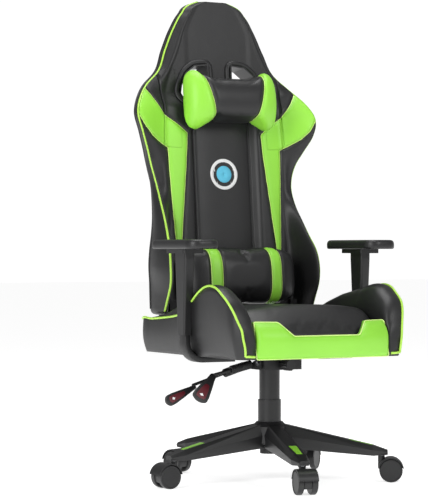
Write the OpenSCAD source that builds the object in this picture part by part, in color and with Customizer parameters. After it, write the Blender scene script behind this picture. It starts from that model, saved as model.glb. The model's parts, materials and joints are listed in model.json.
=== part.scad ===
// Gaming chair with castor base, gas lift, tilt mechanism, armrests and reclining back.
// Origin on the floor under the gas lift. +Z is up and the sitter faces -Y.

/* [Seat] */
// Width of the seat over its side bolsters
seat_w = 495; // [440:5:600]
// Reach of the seat in front of the gas lift
seat_front = 270; // [240:5:330]
// Reach of the seat sides behind the gas lift
seat_rear = 250; // [240:5:310]
// Thickness of the seat side bolsters
bolster_t = 55; // [45:1:65]
// Height of the seat cushion's crown above the seat's underside
cushion_h = 124; // [110:2:150]
// Height of the bolster peaks above the seat's underside
bolster_h = 181; // [150:1:215]
// Length of the free slot in which the back turns
back_well = 105; // [100:1:115]

/* [Base and castors] */
// Radius of the circle through the castor stems
stem_circle_r = 290; // [250:5:350]
// Turn of the base against the seat, in degrees
base_turn = 3.85; // [0:0.05:72]
// Number of legs
legs = 5; // [5:1:5]
// Height of the top of the hub
hub_top = 155; // [140:1:190]
// Width of a leg
leg_w = 50; // [44:1:60]
// Diameter of a castor wheel
wheel_d = 60; // [50:1:65]
// Width of one castor wheel
wheel_w = 15.5; // [12:0.5:18]
// Gap between the two wheels of a castor
wheel_gap = 20; // [16:0.5:24]
// Trail of a castor, from its stem to its axle
trail = 24.5; // [20:0.5:28]
// Diameter of a castor stem
stem_d = 11; // [9:0.5:12]
// Diameter of a castor axle
axle_d = 8; // [6:0.5:9]

/* [Gas lift] */
// Diameter of the outer tube of the gas lift
tube_d = 50; // [44:1:60]
// Diameter of the inner cylinder of the gas lift
cylinder_d = 28; // [26:1:30]
// Height of the mechanism's underside above the hub
column_h = 137; // [125:1:170]
// Stroke of the gas lift
lift_stroke = 80; // [60:5:90]
// Wall of each dust cover sleeve
sleeve_wall = 1.2; // [1:0.1:2]

/* [Mechanism] */
// Width of the mechanism's housing
housing_w = 110; // [100:2:130]
// Distance from the mechanism's underside to the seat's underside
mech_h = 38; // [38:1:50]
// Diameter of the tilt shaft
tilt_shaft_d = 12; // [10:1:14]
// Diameter of a lever's steel rod
lever_rod_d = 8; // [6:0.5:9]
// Length of a lever's paddle
paddle_l = 78; // [60:1:85]

/* [Armrests] */
// How much farther apart the armrest columns stand than the seat is wide
arm_clearance = 31; // [31:2:145]
// Height of the armrest tops above the seat's underside
arm_h = 296.5; // [280:0.1:355.8]
// Length of an armrest pad
pad_l = 236; // [200:2:260]
// Width of an armrest pad
pad_w = 90; // [70:1:95]
// Thickness of an armrest pad
pad_t = 24; // [18:1:30]
// Height travel of an armrest
arm_travel = 70; // [40:5:80]

/* [Back] */
// Height of the back's top above the seat's underside
back_h = 947; // [850:1:1136]
// Full width of the back at its shoulders
back_w = 542; // [460:2:600]
// Backward lean of the back, in degrees
back_lean = 5.5; // [3:0.5:8]
// Thickness of the back behind its centre panel
back_t = 58; // [50:1:70]
// Diameter of the back frame's tubes
back_tube_d = 20; // [16:1:22]
// Diameter of the recliner's pins
hinge_pin_d = 16; // [12:1:18]

/* [Pillows] */
// Width of the neck pillow
neck_w = 292; // [240:2:296]
// Height of the neck pillow
neck_h = 158; // [130:2:180]
// Width of the lumbar pillow
lumbar_w = 354; // [300:2:356]
// Height of the lumbar pillow
lumbar_h = 150; // [120:2:170]

/* [Clearances] */
// Gap of a running fit on the radius
run = 0.05; // [0.02:0.01:0.1]
// Gap between parts that slide past each other
slip = 0.3; // [0.2:0.05:0.6]
// Gap between soft parts and what moves past them
soft = 0.6; // [0.4:0.1:2]

/* [Hidden] */
$fn = 48;

black = "#262626";
nylon = "#1e1e1e";
steel = "#8c9094";
green = "#8fd93a";
soft_black = "#303030";

// Heights that stack up from the floor
wheel_r = wheel_d / 2;
hub_r = tube_d / 2 + 21;
hub_bottom = hub_top - 58;
leg_tip_bottom = wheel_d + 8;
leg_tip_top = leg_tip_bottom + 20;
leg_end_r = stem_circle_r + 16;
mech_z = hub_top + column_h;
seat_z = mech_z + mech_h;
half_seat = seat_w / 2;

// Legs: the top ridge falls from the hub to the tip
leg_root_r = 30;
leg_knee_r = stem_circle_r - 22;
leg_root_top = hub_top - 5;
leg_knee_top = leg_tip_top + 7;
leg_slope = atan((leg_root_top - leg_knee_top) / (leg_knee_r - leg_root_r));
insert_l = 62;
insert_t = 3;
stem_bore_depth = 14;
function leg_angle(k) = -36 + base_turn + 360 / legs * k;

// Gas lift
tube_bottom = hub_bottom - 25;
tube_top = mech_z - 8;
rod_r = 5;
cyl_bottom = tube_bottom + 20;
rod_top = cyl_bottom + lift_stroke + 70;
cyl_top = mech_z + 20;
cyl_wall = 3;
pin_r = 4;
pin_stick = 6;

// Dust cover: each sleeve slides inside the one below
upper_in = tube_d / 2 + slip + 0.1;
upper_out = upper_in + sleeve_wall;
middle_in = upper_out + slip;
middle_out = middle_in + sleeve_wall;
lower_in = middle_out + slip;
lower_out = lower_in + sleeve_wall + 0.4;
cover_h = 57;

// Mechanism
hous_front = -70;
hous_rear = 52;
hous_wall = 3;
tilt_y = -45;
tilt_z = mech_z + 16;
plate_t = 5;
plate_z = seat_z - plate_t - 1;
plate_w = 190;
ear_t = 5;
lever_pivot_x = -40;
height_lever_y = 0;
tilt_lever_y = 38;
knob_r = 15;
knob_l = 38;

// Seat frame
frame_rail_h = 20;
frame_rail_w = 24;
frame_side_x = half_seat - bolster_t - 22;
cross_y = 80;
bolt_x = 70;

// Side bolster outline, [y from the front, height above the underside]
bolster_front = [[0, 10], [0, 40], [3, 72], [12, 100], [24, 122], [36, 139], [62, 160]];
bolster_peak_y = 123;
bolster_rear = [[180, 165], [240, 145], [300, 112], [350, 100], [400, 93]];

// Armrests
post_x = 16;
post_y = 26;
arm_y = -26;
// The armrest columns stand outside the seat, whatever its width
arm_spacing = seat_w + arm_clearance;
arm_top = seat_z + arm_h;
carrier_t = 11;
sleeve_top = arm_top - pad_t - carrier_t;
sleeve_bottom = seat_z + 55;
post_top = min(sleeve_top - 28, sleeve_bottom + arm_travel + 108.5);
button_travel = 3;

// Back: rows of [height, half width, forward reach of the edge, root of the wing, edge depth]
back_ref_h = 947;
back_ref_w = 271;
back_rows = [[98, 223, 55, 192, 87], [140, 223, 81, 190, 112], [182, 223, 106, 188, 135],
    [230, 223, 112, 187, 141], [270, 220, 104, 186, 130], [310, 213, 82, 184, 108],
    [350, 208, 60, 182, 86], [390, 204, 35, 180, 66], [450, 206, 12, 178, 44],
    [505, 222, 15, 176, 38], [540, 239, 32, 174, 34], [585, 261, 53, 172, 31],
    [636, 271, 50, 170, 30], [672, 254, 32, 168, 30], [710, 221, 6, 162, 30],
    [746, 181, -5, 150, 30], [810, 150, -12, 120, 32], [870, 122, -11, 98, 32],
    [910, 97, -10, 76, 30], [936, 70, -13, 52, 26], [947, 40, -16, 24, 20]];
back_y0 = seat_rear - 46.6;
centre_half = 87;
side_lift = 17;
centre_top = 760;
shell_least = 40;
hinge_y = seat_rear - 50;
hinge_z = seat_z + 70;
hinge_plate_t = 4;
hinge_plate_x = 231.5 / 247.5 * half_seat;
back_fit = min(1, (hinge_plate_x - 3) / (225 * back_w / 2 / back_ref_w));
frame_tube_x = 110;
frame_arm_x = 185;
frame_depth = 20;
frame_low = 122;
frame_top = 560;

function back_z(h) = seat_z + h * back_h / back_ref_h;
function back_x(x) = x * back_w / 2 / back_ref_w;
function low_fit(h) = h < 400 ? back_fit : 1;
function front_y(z) = back_y0 + tan(back_lean) * (z - seat_z);
function rear_y(z) = front_y(z) + back_t - 10 * max(0, (z - back_z(810)) / (back_z(947) - back_z(810)));

// Strap openings, [half-breadth position, height above the underside]
opening = [[34, 774], [78, 770], [106, 748], [122, 712], [126, 690], [117, 677], [42, 677], [32, 686]];

// Pillows
pillow_plane = side_lift + 1.5;
neck_z = back_z(676);
lumbar_z = back_z(196);

module ring(r_out, r_in, h) {
    difference() {
        cylinder(r = r_out, h = h);
        translate([0, 0, -1]) cylinder(r = r_in, h = h + 2);
    }
}

module x_rod(r, x0, x1, y, z) {
    translate([x0, y, z]) rotate([0, 90, 0]) cylinder(r = r, h = x1 - x0);
}

module slab(x, y, z, r) {
    // Upright plate with round corners, centred on x and y
    linear_extrude(z) hull() {
        for (i = [-1, 1], j = [-1, 1]) {
            translate([i * (x / 2 - r), j * (y / 2 - r)]) circle(r = r, $fn = 32);
        }
    }
}

module both_sides() {
    children();
    mirror([1, 0, 0]) children();
}

// ---- base

module leg_section(r, top, bottom, w) {
    // Six-sided section across a leg
    mid = bottom + (top - bottom) * 0.55;
    translate([r, 0, 0]) rotate([90, 0, 90]) linear_extrude(0.5) {
        polygon([[-w * 0.32, top], [w * 0.32, top], [w / 2, mid], [w * 0.42, bottom],
            [-w * 0.42, bottom], [-w / 2, mid]]);
    }
}

module leg() {
    hull() {
        leg_section(leg_root_r, leg_root_top, leg_tip_bottom + 20, leg_w);
        leg_section(leg_knee_r, leg_knee_top, leg_tip_bottom, leg_w * 0.96);
        leg_section(leg_end_r, leg_tip_top - 6, leg_tip_bottom + 2, leg_w * 0.55);
    }
}

module insert_outline(grow) {
    polygon([[-insert_l - grow, -10 - grow], [-insert_l - grow, 10 + grow], [0, 7 + grow], [0, -7 - grow]]);
}

module insert_place() {
    translate([leg_knee_r - 1, 0, leg_knee_top]) rotate([0, leg_slope, 0]) children();
}

module star_base() {
    color(nylon) difference() {
        union() {
            rotate_extrude() polygon([[0, hub_bottom], [hub_r - 4, hub_bottom], [hub_r, hub_bottom + 4],
                [hub_r, hub_top - 12], [hub_r - 12, hub_top], [0, hub_top]]);
            for (k = [0:legs - 1]) rotate([0, 0, leg_angle(k)]) leg();
        }
        translate([0, 0, hub_bottom - 20]) cylinder(r = tube_d / 2, h = 100);
        for (k = [0:legs - 1]) rotate([0, 0, leg_angle(k)]) {
            translate([stem_circle_r, 0, leg_tip_bottom - 10]) {
                cylinder(r = stem_d / 2 + run, h = 10 + stem_bore_depth);
            }
            insert_place() translate([0, 0, -insert_t + 1]) linear_extrude(20) insert_outline(0.2);
        }
    }
}

module leg_inserts() {
    color(green) for (k = [0:legs - 1]) rotate([0, 0, leg_angle(k)]) {
        insert_place() translate([-0.2, 0, -insert_t + 1]) linear_extrude(insert_t) insert_outline(0);
    }
}

// ---- castors

module caster_place(k) {
    rotate([0, 0, leg_angle(k - 1)]) translate([stem_circle_r, 0, 0]) children();
}

module caster_hood(k) {
    web = wheel_gap - 2;
    boss_top = leg_tip_bottom - 0.5;
    color(nylon) caster_place(k) difference() {
        union() {
            intersection() {
                translate([trail, 0, wheel_r]) rotate([90, 0, 0]) {
                    cylinder(r = wheel_r + 4, h = 2 * wheel_w + wheel_gap, center = true);
                }
                translate([trail - 60, -60, wheel_r + 6]) cube([120, 120, wheel_r + 1]);
            }
            intersection() {
                translate([trail, 0, wheel_r]) rotate([90, 0, 0]) {
                    cylinder(r = wheel_r - 3, h = web, center = true);
                }
                translate([trail - 60, -60, wheel_r - 14]) cube([120, 120, 60]);
            }
            translate([0, 0, wheel_r + 8]) cylinder(r = stem_d / 2 + 3.4, h = boss_top - wheel_r - 8);
        }
        for (s = [-1, 1]) {
            translate([trail, s * (wheel_gap / 2 + wheel_w / 2 + 4), wheel_r]) rotate([90, 0, 0]) {
                cylinder(r = wheel_r + 1, h = wheel_w + 9.2, center = true);
            }
        }
        translate([trail, 0, wheel_r]) rotate([90, 0, 0]) cylinder(r = axle_d / 2, h = 60, center = true);
        translate([0, 0, wheel_r + 12]) cylinder(r = stem_d / 2, h = 60);
    }
}

module caster_pins(k) {
    color(steel) caster_place(k) {
        translate([0, 0, wheel_r + 12]) {
            cylinder(r = stem_d / 2, h = leg_tip_bottom + stem_bore_depth - 1 - wheel_r - 12);
        }
        translate([trail, 0, wheel_r]) rotate([90, 0, 0]) {
            cylinder(r = axle_d / 2, h = wheel_gap + 2 * wheel_w - 6, center = true);
        }
    }
}

module caster_wheel(k, side) {
    // A wheel with a rounded tread, a recessed rim line and a blind bore for the axle
    edge = 2;
    inner = wheel_gap / 2 + 0.3;
    outer = wheel_gap / 2 + wheel_w;
    color(nylon) caster_place(k) translate([trail, 0, wheel_r]) rotate([side * 90, 0, 0]) {
        rotate_extrude($fn = 64) difference() {
            polygon([[0, inner], [wheel_r - edge, inner], [wheel_r, inner + edge],
                [wheel_r, outer - edge], [wheel_r - edge, outer], [wheel_r - 4, outer],
                [wheel_r - 5, outer - 1], [0, outer - 1]]);
            translate([-1, 0]) square([1 + axle_d / 2 + run, outer - 2.5]);
        }
    }
}

// ---- gas lift

module lift_outer_tube() {
    color(steel) translate([0, 0, tube_bottom]) difference() {
        cylinder(r = tube_d / 2, h = tube_top - tube_bottom);
        translate([0, 0, 3]) cylinder(r = tube_d / 2 - 2, h = tube_top);
        translate([0, 0, -1]) cylinder(r = rod_r + run, h = 6);
    }
}

module lift_guide_bush() {
    color("white") translate([0, 0, tube_top - 40]) {
        ring(tube_d / 2 - 2, cylinder_d / 2 + run, 40);
    }
}

module piston_rod() {
    color(steel) {
        translate([0, 0, tube_bottom]) cylinder(r = rod_r, h = rod_top - tube_bottom);
        translate([0, 0, tube_bottom + 3.1]) cylinder(r = rod_r + 5, h = 6);
        translate([0, 0, rod_top - 10]) cylinder(r = cylinder_d / 2 - cyl_wall - run, h = 10);
    }
}

module lift_cylinder() {
    r_in = cylinder_d / 2 - cyl_wall;
    color(steel) translate([0, 0, cyl_bottom]) difference() {
        cylinder(r = cylinder_d / 2, h = cyl_top - cyl_bottom);
        translate([0, 0, 12]) cylinder(r = r_in, h = cyl_top - cyl_bottom - 24);
        translate([0, 0, -1]) cylinder(r = rod_r + run, h = 20);
        translate([0, 0, cyl_top - cyl_bottom - 20]) cylinder(r = pin_r + run, h = 30);
    }
}

module valve_pin() {
    color(steel) translate([0, 0, cyl_top - 9]) cylinder(r = pin_r, h = 9 + pin_stick);
}

module dust_cover_lower() {
    color(nylon) translate([0, 0, hub_top]) ring(lower_out, lower_in, cover_h);
}

module dust_cover_middle() {
    color(nylon) translate([0, 0, hub_top + 1]) ring(middle_out, middle_in, cover_h - 2);
}

module dust_cover_upper() {
    color(nylon) translate([0, 0, hub_top + 4]) ring(upper_out, upper_in, mech_z - hub_top - 4);
}

// ---- mechanism

module mechanism_housing() {
    length = hous_rear - hous_front;
    color(black) difference() {
        union() {
            difference() {
                translate([-housing_w / 2, hous_front, mech_z]) cube([housing_w, length, mech_h - 8]);
                translate([-housing_w / 2 + hous_wall, hous_front + hous_wall, mech_z + 4]) {
                    cube([housing_w - 2 * hous_wall, length - 2 * hous_wall, 60]);
                }
            }
            translate([0, 0, mech_z]) cylinder(r = cylinder_d / 2 + 6, h = cyl_top - mech_z);
        }
        // The rim falls towards the rear, so that the seat plate can tip over it
        translate([-100, tilt_y, mech_z + mech_h - 9]) rotate([-14, 0, 0]) cube([200, 200, 60]);
        translate([0, 0, mech_z - 1]) cylinder(r = cylinder_d / 2, h = 60);
        x_rod(tilt_shaft_d / 2, -100, 100, tilt_y, tilt_z);
        translate([0, hous_front - 1, mech_z + 14]) rotate([-90, 0, 0]) cylinder(r = 4, h = 10);
        // Open slots for the levers; the tilt lever's rod falls past the floor's edge
        translate([-housing_w / 2 - 5, height_lever_y - 7, mech_z + 4]) cube([20, 14, 40]);
        translate([-housing_w / 2 - 5, tilt_lever_y - 7, mech_z - 1]) cube([20, 14, 45]);
    }
}

module tilt_shaft() {
    length = housing_w + 2 * ear_t + 8;
    color(steel) x_rod(tilt_shaft_d / 2, -length / 2, length / 2, tilt_y, tilt_z);
}

function lever_z(y) = mech_z + (y == height_lever_y ? 14 : 8.5);
function rod_end(y, reach, drop) = [-housing_w / 2 + 8 - reach, y, lever_z(y) - drop];

module outer_rod(y, reach, drop) {
    fall = atan(drop / reach);
    translate([-housing_w / 2 + 8, y, lever_z(y)]) rotate([0, -90 - fall, 0]) {
        cylinder(r = lever_rod_d / 2, h = reach / cos(fall));
    }
}

module lever_rod(y, reach, drop) {
    // Flat bar at the pivot, then a round rod that falls outwards
    z = lever_z(y);
    finger_z = cyl_top + pin_stick + 0.3;
    color(steel) {
        translate([lever_pivot_x - 18, y - 5, z - 2]) cube([30, 10, 4]);
        if (y == height_lever_y) {
            translate([lever_pivot_x + 4, y - 5, z - 2]) cube([8, 10, finger_z + 3 - z + 2]);
            translate([lever_pivot_x + 8, y - 5, finger_z]) cube([pin_r - lever_pivot_x - 8, 10, 3]);
        }
        outer_rod(y, reach, drop);
    }
}

module paddle(root, tip, w) {
    // Flared paddle with a pointed end, between two places in the y plane of its lever
    dx = root[0] - tip[0];
    dz = root[2] - tip[2];
    length = sqrt(dx * dx + dz * dz);
    turn = atan2(dz, dx);
    translate(root) rotate([0, -turn, 0]) mirror([1, 0, 0]) {
        translate([0, 0, -5]) linear_extrude(10) {
            polygon([[-8, -8], [length * 0.35, -w / 2], [length * 0.85, -w / 2 - 3], [length, -4],
                [length - 4, w / 2 - 4], [length * 0.4, w / 2], [-8, 8]]);
        }
    }
}

height_reach = 118;
height_drop = 26;
tilt_reach = 160;
tilt_drop = 48;
module height_lever_paddle() {
    end = rod_end(height_lever_y, height_reach, height_drop);
    color(black) difference() {
        paddle(end + [10, 0, 1.5], end + [-46, 0, -paddle_l + 12], 34);
        outer_rod(height_lever_y, height_reach, height_drop);
    }
}

module tilt_lever_paddle() {
    end = rod_end(tilt_lever_y, tilt_reach, tilt_drop);
    color(black) difference() {
        paddle(end + [10, 0, 4], end + [-paddle_l + 2, 0, -40], 34);
        outer_rod(tilt_lever_y, tilt_reach, tilt_drop);
    }
}

module tension_knob() {
    color(black) translate([0, hous_front - 1, mech_z + 14]) rotate([90, 0, 0]) difference() {
        union() {
            cylinder(r = knob_r - 2, h = knob_l);
            translate([0, 0, 10]) cylinder(r = knob_r, h = knob_l - 12);
        }
        for (a = [0:30:330]) rotate([0, 0, a]) translate([knob_r + 1, 0, 8]) cylinder(r = 2.5, h = 60);
        translate([0, 0, -1]) cylinder(r = 4 + run, h = 20);
    }
}

module tension_bolt() {
    // The knob turns on this bolt, which stands in the housing's front wall
    color(steel) translate([0, hous_front - 16, mech_z + 14]) rotate([-90, 0, 0]) {
        cylinder(r = 4, h = 16 + hous_wall + 4);
    }
}

module seat_plate() {
    color(black) difference() {
        union() {
            translate([-plate_w / 2, -110, plate_z]) cube([plate_w, 220, plate_t]);
            both_sides() {
                translate([housing_w / 2 + 0.6, tilt_y - 14, tilt_z - 12]) {
                    cube([ear_t, 28, plate_z - tilt_z + 12 + 1]);
                }
            }
        }
        translate([-44, -26, plate_z - 5]) cube([88, 88, 20]);
        x_rod(tilt_shaft_d / 2 + run, -100, 100, tilt_y, tilt_z);
        for (x = [-bolt_x, bolt_x], y = [-cross_y, cross_y]) {
            translate([x, y, plate_z - 1]) cylinder(r = 4.2, h = 20);
        }
    }
}

module seat_bolts() {
    color(steel) for (x = [-bolt_x, bolt_x], y = [-cross_y, cross_y]) translate([x, y, plate_z - 5]) {
        cylinder(r = 6.5, h = 5, $fn = 6);
        cylinder(r = 4, h = 5 + plate_t + 14);
    }
}

// ---- seat

module seat_frame() {
    front = -seat_front + 52;
    rear = seat_rear - 20;
    color(steel) difference() {
        union() {
            both_sides() translate([frame_side_x - frame_rail_w, front, seat_z]) {
                cube([frame_rail_w, rear - front, frame_rail_h]);
            }
            for (y = [front, rear - frame_rail_w, -cross_y - 12, cross_y - 12]) {
                translate([-frame_side_x, y, seat_z]) cube([2 * frame_side_x, frame_rail_w, frame_rail_h]);
            }
        }
        for (x = [-bolt_x, bolt_x], y = [-cross_y, cross_y]) {
            translate([x, y, seat_z - 1]) cylinder(r = 4, h = 16);
        }
    }
}

module seat_cushion() {
    w = half_seat - bolster_t - soft;
    front = -seat_front + 14;
    rear = seat_rear - back_well;
    base = seat_z + frame_rail_h + 1;
    crown = seat_z + cushion_h;
    color(soft_black) hull() {
        translate([-w, front + 12, base]) cube([2 * w, rear - front - 12, 10]);
        translate([-w, front + 6, base + 40]) cube([2 * w, rear - front - 8, 10]);
        translate([-w, front + 40, crown - 24]) cube([2 * w, rear - front - 50, 6]);
        translate([-w + 40, front + 90, crown - 8]) cube([2 * w - 80, rear - front - 150, 8]);
        translate([-w * 0.6, front + 1, base + 34]) cube([w * 1.2, 30, 12]);
    }
}

module bolster_outline() {
    k = bolster_h / 181;
    polygon(concat([[-seat_front + 6, 0]],
        [for (p = bolster_front) [-seat_front + p[0], p[1] * k]],
        [[-seat_front + bolster_peak_y - 18, bolster_h - 3], [-seat_front + bolster_peak_y, bolster_h],
            [-seat_front + bolster_peak_y + 18, bolster_h - 4]],
        [for (p = bolster_rear) [-seat_front + p[0], p[1] * k]],
        [[seat_rear - 30, 90], [seat_rear - 6, 92], [seat_rear, 84], [seat_rear, 10], [seat_rear - 8, 0]]));
}

module bolster(side) {
    wall = half_seat - hinge_plate_x - hinge_plate_t - 0.5;
    color(soft_black) difference() {
        translate([side > 0 ? half_seat - bolster_t : -half_seat, 0, seat_z]) {
            rotate([90, 0, 90]) linear_extrude(bolster_t) bolster_outline();
        }
        // Room for the back between the rear walls
        translate([side > 0 ? 0 : -half_seat + wall, seat_rear - back_well, seat_z - 1]) {
            cube([half_seat - wall, back_well + 10, 300]);
        }
        if (side > 0) x_rod(hinge_pin_d / 2 + 2, 0, 400, hinge_y, hinge_z);
    }
}

module seat_bolster_left() {
    bolster(1);
}

module seat_bolster_right() {
    bolster(-1);
}

module seat_front_panel() {
    // Low padded panel with raised ends on both sides of a notch
    w = half_seat - bolster_t - soft;
    color(green) translate([0, -seat_front + 13.5, seat_z + 1]) rotate([90, 0, 0]) {
        linear_extrude(16) {
            polygon([[-w, 0], [w, 0], [w, 92], [127, 90], [96, 56], [-96, 56], [-127, 90], [-w, 92]]);
        }
    }
}

// ---- armrests

module arm_place(side) {
    translate([side * arm_spacing / 2, arm_y, 0]) children();
}

module armrest_bracket(side) {
    inner = 128;
    bar_h = 14;
    bar_z = seat_z - bar_h - 1;
    x0 = arm_spacing / 2 - inner;
    color(black) arm_place(side) {
        translate([side > 0 ? -x0 : -post_x / 2, -20, bar_z]) cube([x0 + post_x / 2, 40, bar_h]);
        translate([-post_x / 2, -post_y / 2, bar_z]) cube([post_x, post_y, post_top - bar_z]);
        translate([side > 0 ? -x0 : x0 - 28, -20, bar_z + bar_h]) cube([28, 40, 1]);
    }
}

module armrest_sleeve(side) {
    h = sleeve_top - sleeve_bottom;
    color(nylon) arm_place(side) difference() {
        union() {
            translate([0, 0, sleeve_bottom]) hull() {
                slab(post_x + 9, post_y + 9, 1, 5);
                translate([0, 0, h - 14]) slab(29, 58, 14, 7);
            }
            translate([0, 0, sleeve_top]) slab(58, 100, carrier_t, 8);
        }
        translate([-post_x / 2 - slip, -post_y / 2 - slip, sleeve_bottom - 1]) {
            cube([post_x + 2 * slip, post_y + 2 * slip, h - 10]);
        }
        translate([-5 - slip, post_y / 2 + 4, sleeve_top - 40 - slip]) cube([10 + 2 * slip, 40, 24 + 2 * slip]);
    }
}

module armrest_button(side) {
    color(black) arm_place(side) {
        translate([-5, post_y / 2 + 4 + button_travel + 0.5, sleeve_top - 40]) {
            cube([10, 29 - post_y / 2 - 4 - 0.5 + 1, 24]);
        }
    }
}

module armrest_pad(side) {
    color(black) translate([side * arm_spacing / 2, arm_y, arm_top - pad_t]) {
        slab(pad_w, pad_l, pad_t, 22);
    }
}

// ---- back

module hinge_plates() {
    color(steel) both_sides() difference() {
        union() {
            translate([hinge_plate_x, hinge_y - 24, seat_z + 2]) cube([hinge_plate_t, 48, hinge_z - seat_z - 2]);
            x_rod(24, hinge_plate_x, hinge_plate_x + hinge_plate_t, hinge_y, hinge_z);
            translate([frame_side_x, hinge_y - 24, seat_z + 2]) {
                cube([hinge_plate_x - frame_side_x + 1, 48, 6]);
            }
        }
        x_rod(hinge_pin_d / 2 + run, 0, 400, hinge_y, hinge_z);
    }
}

module lean_tube(x, h0, h1, r) {
    // Tube inside the back that leans with it
    z0 = back_z(h0);
    z1 = back_z(h1);
    translate([x, front_y(z0) + frame_depth, z0]) rotate([-back_lean, 0, 0]) {
        cylinder(r = r, h = (z1 - z0) / cos(back_lean));
    }
}

module back_tubes() {
    r = back_tube_d / 2;
    for (x = [-frame_tube_x, frame_tube_x]) lean_tube(x, frame_low, frame_top, r);
    for (h = [frame_low, 330, frame_top]) {
        z = back_z(h);
        reach = h == frame_low ? frame_arm_x : frame_tube_x;
        x_rod(r, -reach, reach, front_y(z) + frame_depth, z);
    }
}

module back_arms() {
    // Arms that carry the hinge pins at the back's lower corners
    z = back_z(frame_low);
    y = front_y(z) + frame_depth;
    both_sides() {
        translate([frame_arm_x - 10, hinge_y - 15, hinge_z - 15]) {
            cube([20, 30 + y - hinge_y, z - hinge_z + 30]);
        }
        x_rod(hinge_pin_d / 2, frame_arm_x, hinge_plate_x + hinge_plate_t, hinge_y, hinge_z);
    }
}

module back_frame() {
    color(steel) {
        back_tubes();
        back_arms();
        x_rod(hinge_pin_d / 2, hinge_plate_x, half_seat + 12, hinge_y, hinge_z);
    }
}

function lift_of(row) = row[0] > centre_top ? 2 : side_lift;
function mid_of(row) = back_x(min(centre_half, row[3] * 0.85));
function step_of(row) = min(12, (back_x(row[3]) - mid_of(row)) / 2);
function edge_of(row) = back_x(row[1]) * low_fit(row[0]);
// Behind the wing's root the shell keeps a least thickness
function root_rear(row, z) = min(rear_y(z), front_y(z)
    + max(shell_least - lift_of(row), row[4] + 12 - row[2]));

// Right half of the front outline at one height, from the middle outwards, as [x, y]
function front_half(row, z) = [
    [mid_of(row), front_y(z)],
    [mid_of(row) + step_of(row), front_y(z) - lift_of(row)],
    [back_x(row[3]), front_y(z) - lift_of(row)],
    [edge_of(row) - 12, front_y(z) - max(row[2] + 4, lift_of(row))],
    [edge_of(row), front_y(z) - row[2]]];

// Right half of the rear outline, from the edge to the middle
function rear_half(row, z) = [
    [edge_of(row), front_y(z) - row[2] + row[4]],
    [back_x(row[3]), root_rear(row, z)],
    [mid_of(row), rear_y(z)]];

function half_ring(row, z) = concat(front_half(row, z), rear_half(row, z));
function back_ring(row) = let (z = back_z(row[0]), half = half_ring(row, z), n = len(half)) concat(
    [for (p = half) [p[0], p[1], z]],
    [for (i = [n - 1:-1:0]) [-half[i][0], half[i][1], z]]);

module back_solid() {
    rings = [for (row = back_rows) back_ring(row)];
    n = len(rings[0]);
    top = len(rings) - 1;
    points = [for (r = rings) for (p = r) p];
    sides = [for (i = [0:top - 1], j = [0:n - 1])
        for (f = [[i * n + j, i * n + (j + 1) % n, (i + 1) * n + j],
            [i * n + (j + 1) % n, (i + 1) * n + (j + 1) % n, (i + 1) * n + j]]) [f[2], f[1], f[0]]];
    caps = [[for (j = [0:n - 1]) j], [for (j = [n - 1:-1:0]) top * n + j]];
    polyhedron(points, concat(sides, caps), convexity = 8);
}

module opening_prism(grow, y0, y1) {
    // Outline of a strap opening, from y0 to y1 behind the back's leaning front plane
    z0 = back_z(opening[5][1]);
    translate([0, front_y(z0), z0]) rotate([90 - back_lean, 0, 0]) translate([0, 0, -y1]) {
        linear_extrude(y1 - y0) offset(delta = grow) {
            polygon([for (p = opening) [back_x(p[0]), back_z(p[1]) - z0]]);
        }
    }
}

module back_shell() {
    color(soft_black) difference() {
        back_solid();
        both_sides() opening_prism(0, -80, 140);
    }
}

module strap_rims() {
    // A collar lines each strap opening
    color(black) both_sides() difference() {
        opening_prism(-0.3, -8, back_t - 4);
        opening_prism(-4.3, -80, 140);
    }
}

module recline_handle() {
    color(black) difference() {
        union() {
            x_rod(17, half_seat + 1, half_seat + 13, hinge_y, hinge_z);
            translate([half_seat + 1, hinge_y, hinge_z]) rotate([-20, 0, 0]) {
                translate([0, 0, 0]) rotate([90, 0, 90]) linear_extrude(11) {
                    polygon([[-12, 10], [-12, -10], [-118, -2], [-124, 8], [-116, 16]]);
                }
            }
        }
        x_rod(hinge_pin_d / 2 + run, 0, 400, hinge_y, hinge_z);
    }
}

// ---- pillows

module pillow(w, h, t, z, end_h) {
    // Flat-backed pillow in front of the back, a little taller at its ends
    back_y = front_y(z) - pillow_plane;
    color(soft_black) translate([0, back_y, z]) rotate([-back_lean, 0, 0]) {
        hull() {
            translate([-w / 2 + 24, -12, -h / 2 + 10]) cube([w - 48, 12, h - 20]);
            translate([-w / 2 + 6, -t * 0.55, -end_h / 2 + 8]) cube([w - 12, 10, end_h - 16]);
            translate([-w / 2, -t * 0.5, -end_h / 2 + 30]) cube([w, 8, end_h - 60]);
            translate([-w / 2 + 40, -t, -h / 2 + 40]) cube([w - 80, 10, h - 80]);
            translate([-w / 2 + 30, -t * 0.6, -h / 2]) cube([w - 60, t * 0.3, h]);
        }
    }
}

module neck_pillow() {
    pillow(neck_w, neck_h, 86, neck_z, neck_h);
}

module lumbar_pillow() {
    pillow(lumbar_w, lumbar_h, 98, lumbar_z, lumbar_h);
}

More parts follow.
